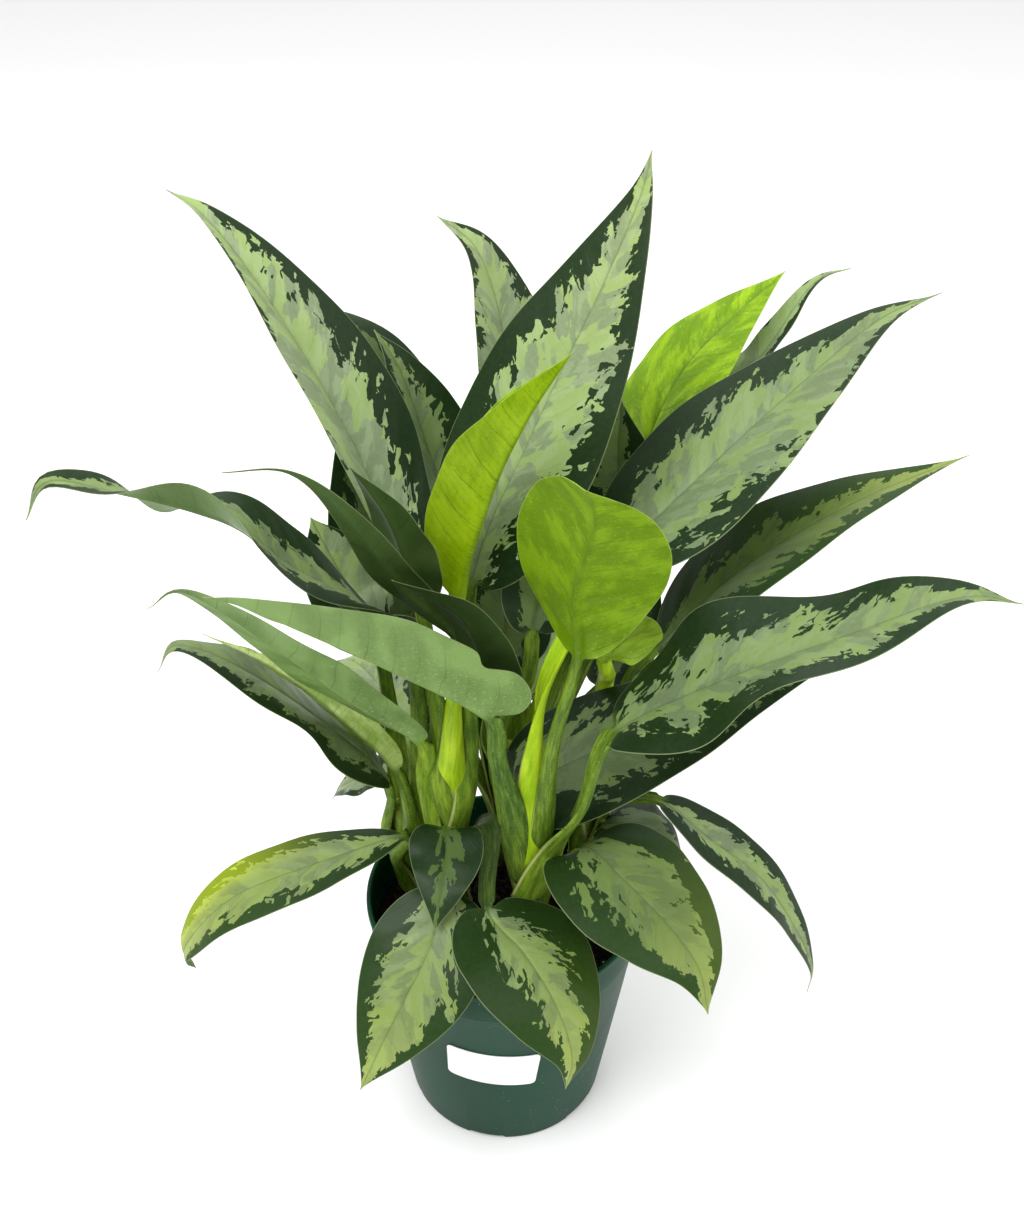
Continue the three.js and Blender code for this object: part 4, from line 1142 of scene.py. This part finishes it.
# %% Attributes for the finish
def leaf_attributes(marks, mood, seed, flat_x, flat_y, rim, s):
    """Four vectors for each point, which the finishes read.

    opened: the place on the leaf opened flat, in centimetres, and a seed.
    place: t, then s, which is below 0 on the stalk, then 1 on the upper face and 0 on the lower.
    habit: how far the silver reaches here, the warmth, and the distance to the edge in millimetres.
    mood: painted shade, or how brightly a young leaf's lower side is painted lit, then how yellow the stalk
    and how golden a half is.
    """
    left, right, warm, painted_shade = marks
    t = ACROSS[None]
    s_all = np.concatenate([np.linspace(-1, 0, STALK_ROWS, endpoint=False), s])[:, None]
    reach = np.where(t < 0, left, right) * (1 - 0.12 * np.cos(2 * math.pi * s_all.clip(0, 1)))
    reach = reach + 0.6 * smooth_rise(s_all, 0.86, 1.0)
    warmth = warm * (0.35 + 0.65 * smooth_rise(s_all, 0.1, 0.95))

    def both_faces(*numbers):
        face = np.stack([number * np.ones_like(flat_x) for number in numbers], -1)
        return np.concatenate([face, face[:, ::-1]], 1)

    place = both_faces(t, s_all, 1)
    place[:, t.shape[1]:, 2] = 0
    return {"opened": both_faces(flat_x / 10, flat_y / 10, seed * 3.7), "place": place,
            "habit": both_faces(reach, warmth, rim), "mood": both_faces(painted_shade, *mood)}


print("rows of a leaf:", STALK_ROWS, "on the stalk,", BLADE_ROWS, "on the blade")

# %% [markdown]
# ## The finish of a grown leaf
#
# The upper face is dark green at the margins and silver green in the middle. The border is ragged, because
# the pale tissue comes in sectors that follow the side veins, outwards and towards the tip. A painted image
# would need its place on every leaf, so the pattern is worked out on the leaf opened flat: one number runs
# along a side vein and one across it, both bent a little by slow and quick noise. The silver ends where t
# passes the leaf's reach, give or take clouds and the random values of cracked cells in three sizes. The
# lower face is plain green with thin dark veins, and a pale line follows the edge.


# %% What the finishes read
SIDE_VEIN = 0.45, 0.2  # a side vein bends to the tip: along = first * out + second * out^2


def leaf_terms(start):
    """The attributes as terms, by name, and what both finishes work out from them.

    side is 1 on the right half and -1 on the left, out is the distance from the midrib, and vein is a number
    that stays the same all along one side vein.
    """
    across, along, seed = start.attribute("opened").split()
    t, s, upper = start.attribute("place").split()
    reach, warm, rim = start.attribute("habit").split()
    painted_shade, yellow, gold = start.attribute("mood").split()
    side, out = across.maths("SIGN", across), abs(across)
    vein = along - out * SIDE_VEIN[0] - out * out * SIDE_VEIN[1]
    return SimpleNamespace(
        start=start, across=across, along=along, seed=seed, t=t, s=s, upper=upper, reach=reach, warm=warm,
        rim=rim, painted_shade=painted_shade, yellow=yellow, gold=gold, side=side, out=out, vein=vein)


def vein_lines(leaf, seed, width):
    """Thin lines at even steps of the vein number, wandering a little. 1 on the line."""
    wander = leaf.start.vector(leaf.out * 0.22, leaf.vein * 0.5, seed + leaf.side * 5).noise(1.0, 2, 0.4)
    place = leaf.vein / (VEIN_GAP / 10) + leaf.side * 0.12 + (wander - 0.5) * 1.3
    gap = abs(place.maths("FRACT", place) - 0.5)
    return gap.step(0.5 - width, 0.5 - width * 0.3) * (1 - leaf.out.step(1.6, 3.2))


def flecks(leaf, scale, low, high):
    """Small pale specks over the leaf opened flat."""
    spot = leaf.start.vector(leaf.across * scale, leaf.along * scale, leaf.seed)
    return spot.noise(3.4, 3, 0.65).step(low, high)


def leaf_over_stalk(leaf, blade, stem, cream):
    """The blade's colour, and below its base the stalk's, with cream edges where the stalk is a sheath."""
    margin = (1 - leaf.rim.step(0.05, 0.4)) * (1 - leaf.s.step(-0.8, -0.45))
    stem = (margin * 0.7).mix(stem, cream)
    return leaf.s.step(-0.01, 0.05).mix(stem, blade)


print("a side vein 3 cm out has run", round(3 * SIDE_VEIN[0] + 9 * SIDE_VEIN[1], 2), "cm towards the tip")

# %% Grown leaf: the pattern
CELLS = ((1.0, 0.2), (2.3, 0.36), (4.8, 0.2))  # the cells that make the border ragged: scale and share
leaf_finish, shader, start = finish_named("leaf_silver_green", specular=0.22)
leaf = leaf_terms(start)
streak, cross = leaf.along * 0.83 + leaf.out * 0.56, leaf.out * 0.83 - leaf.along * 0.56
place = start.vector(streak, cross, leaf.seed + leaf.side * 2)
grainy = place.noise(4.2, 4, 0.7)
slow, quick = place.noise(0.9, 2, 0.5) - 0.5, place.noise(3.4, 3, 0.6) - 0.5
sector = start.vector(streak * 0.5 + slow * 0.7 + quick * 0.16, cross * 1.05 - slow * 0.5 + quick * 0.18,
                      leaf.seed + leaf.side * 2.3)
cloud = sector.noise(0.62, 1, 0.5)
ragged = (cloud - 0.5) * 0.45
for scale, share in CELLS:
    ragged = ragged + (sector.cells(scale) - 0.5) * share
silver = (leaf.reach - abs(leaf.t) + ragged).step(-0.003, 0.003)
patch = start.vector(streak * 0.42 + slow * 0.8 + quick * 0.16, cross + quick * 0.2,
                     leaf.seed + leaf.side * 9 + 4)
tone = (patch.noise(0.75, 2, 0.5) + (patch.cells(1.7) - 0.5) * 0.2).step(0.48, 0.52)
shade = patch.noise(1.9, 2, 0.5).step(0.48, 0.56)
print("nodes for the pattern:", len(start.tree.nodes))

# %% Grown leaf: the upper side
warm, s = leaf.warm, leaf.s
dark = warm.mix(ink(17, 38, 13), ink(34, 62, 6))
dark = ((grainy - 0.35) * 0.5).mix(dark, warm.mix(ink(56, 82, 44), ink(58, 88, 14)))
grey = warm.mix(ink(123, 138, 106), ink(108, 124, 52))
fresh = warm.mix(ink(144, 166, 102), ink(130, 149, 56))
pale = tone.mix(grey, fresh)
pale = (shade * 0.3).mix(pale, warm.mix(ink(165, 184, 144), ink(144, 163, 80)))
pale = ((grainy - 0.35) * 0.6).mix(pale, warm.mix(ink(165, 182, 144), ink(148, 165, 88)))
# Painted shade: leaves that lie in the shade of others are dulled towards a deep olive green.
pale = (leaf.painted_shade * 0.5).mix(pale, ink(56, 80, 24))
pale = (s.step(0.45, 1.0) * warm * 0.4).mix(pale, ink(186, 200, 112))
golden = leaf.gold * leaf.side
ripe = golden.maths("MAXIMUM", golden, 0.0) * s.step(0.2, 0.7)
pale = (ripe * abs(leaf.t).step(0.1, 0.9)).mix(pale, ink(186, 200, 60))
dark = ripe.mix(dark, ink(138, 158, 10))
rib = 1 - abs(leaf.across).step(0.01, 0.07)
veins = vein_lines(leaf, leaf.seed, 0.03)
top = (rib * 0.35).mix(silver.mix(dark, pale), ink(64, 86, 36))
top = (veins * 0.08).mix(top, ink(30, 50, 20))
print("with the upper side:", len(start.tree.nodes))

# %% Grown leaf: the lower side
low_veins = vein_lines(leaf, leaf.seed + 1, 0.028)
specks = flecks(leaf, 2.2, 0.58, 0.68) * (1 - s.step(0.0, 0.9))
below = cloud.step(0.35, 0.65).mix(ink(94, 124, 58), ink(120, 152, 80))
below = ((grainy - 0.35) * 0.7).mix(below, ink(134, 164, 94))
below = (specks * 0.8).mix(below, ink(160, 186, 120))
below = (low_veins * 0.34).mix(below, ink(40, 64, 22))
below = (rib * 0.6).mix(below, ink(106, 132, 56))
# Painted shade on the lower side, as on the upper.
below = (leaf.painted_shade * 0.5).mix(below, ink(46, 68, 28))
# Painted light: a number below 0 paints the lower side of a shaded leaf paler, as if lit.
below = (leaf.painted_shade * -0.7).mix(below, ink(168, 190, 130))
print("with the lower side:", len(start.tree.nodes))

# %% Grown leaf: edge, stalk and sheen
blade = leaf.upper.step(0.4, 0.6).mix(below, top)
blade = ((1 - leaf.rim.step(0.05, 0.45)) * 0.6).mix(blade, ink(140, 154, 108))
yellow = (1 - s.step(-1.0, -0.4)) * 0.15 + leaf.yellow
stem, _ = stem_colour(start, leaf.across, leaf.along, leaf.seed, yellow)
stem = (leaf.yellow * -0.7).mix(stem, ink(34, 48, 8))
feed(shader, Base_Color=leaf_over_stalk(leaf, blade, stem, ink(184, 190, 118)),
     Roughness=0.62 + grainy * 0.16 - s.step(-0.05, 0.05) * 0.24,
     Normal=bumped(start, veins * -0.5 + grainy * 0.35, 0.25, 0.0005))
print("nodes of a grown leaf:", len(start.tree.nodes))

# %% [markdown]
# ## The finish of a young leaf
#
# The newest leaves have not made their pattern yet: they are yellow green, almost glowing, with soft paler
# clouds where the silver will be and darker threads for the side veins. A light inside the leaf would be one
# way to make it glow. Here their own yellow green is painted a little brighter so that it also stands in for
# the glow, which is painted light, and the lower side is painted lit or shaded, leaf by leaf.

# %% Young leaf
young_finish, shader, start = finish_named("leaf_young_green", specular=0.22)
leaf = leaf_terms(start)
grainy = start.vector(leaf.out, leaf.vein, leaf.seed).noise(3.2, 4, 0.65)
cloud = start.vector(leaf.out * 0.8, (leaf.along - leaf.out) * 0.5, leaf.seed + leaf.side * 3)
soft = cloud.noise(1.1, 3, 0.6).step(0.4, 0.62)
top = soft.mix(ink(106, 144, 2), ink(144, 182, 12))
# Painted light and shade: a lit and a shaded copy of the lower side's green, and each young leaf's number
# picks between them.
shaded, lit = soft.mix(ink(74, 112, 0), ink(100, 140, 3)), soft.mix(ink(150, 184, 4), ink(172, 204, 24))
blade = leaf.upper.step(0.4, 0.6).mix(leaf.painted_shade.mix(shaded, lit), top)
# Warmth mixes in a pale cream yellow: the leaf's own paler colour, and on leaf_left_pale, whose warmth is 2,
# also painted light on a leaf that lies in shade.
blade = (leaf.warm * 0.85).mix(blade, soft.mix(ink(150, 178, 92), ink(190, 210, 134)))
lines = leaf.vein * 2.3 + grainy * 1.3
threads = abs(lines.maths("FRACT", lines) - 0.5).step(0.4, 0.48)
veins = vein_lines(leaf, leaf.seed, 0.034)
rib = 1 - abs(leaf.across).step(0.03, 0.14)
blade = (threads * 0.25).mix(blade, ink(66, 100, 2))
blade = (veins * 0.3).mix(blade, ink(60, 92, 2))
blade = (rib * 0.4).mix(blade, ink(70, 104, 4))
blade = (flecks(leaf, 2, 0.6, 0.68) * 0.55).mix(blade, ink(168, 202, 60))
blade = ((1 - leaf.rim.step(0.1, 0.5)) * 0.6).mix(blade, ink(160, 184, 80))
stem, _ = stem_colour(start, leaf.across, leaf.along, leaf.seed, leaf.yellow)
feed(shader, Base_Color=leaf_over_stalk(leaf, blade, stem, ink(196, 204, 122)),
     Roughness=0.36 + grainy * 0.16, Normal=bumped(start, veins * -0.6 + grainy * 0.3, 0.3, 0.0006))
print("nodes of a young leaf:", len(start.tree.nodes))

# %% Build the leaves
triangles = 0
for seed, (name, leaf) in enumerate(LEAVES.items(), 1):
    young = leaf.get("young", False)
    rings, *flat, s = leaf_rings(name, leaf, seed)
    mood = STALK_YELLOW.get(name, YOUNG_YELLOW if young else USUAL_YELLOW), GOLDEN.get(name, 0)
    attributes = leaf_attributes(MARKS.get(name, USUAL_MARKS), mood, seed, *flat, s)
    finish, slot = leaf_finish, "leaf_green"
    if young or name in YOUNG_COLOURED:
        finish, slot = young_finish, "leaf_young"
    dress(skin(name + "_blade", rings, [finish], attributes), slot, name)
    triangles += 2 * rings.shape[0] * rings.shape[1]
print("leaf triangles:", triangles)
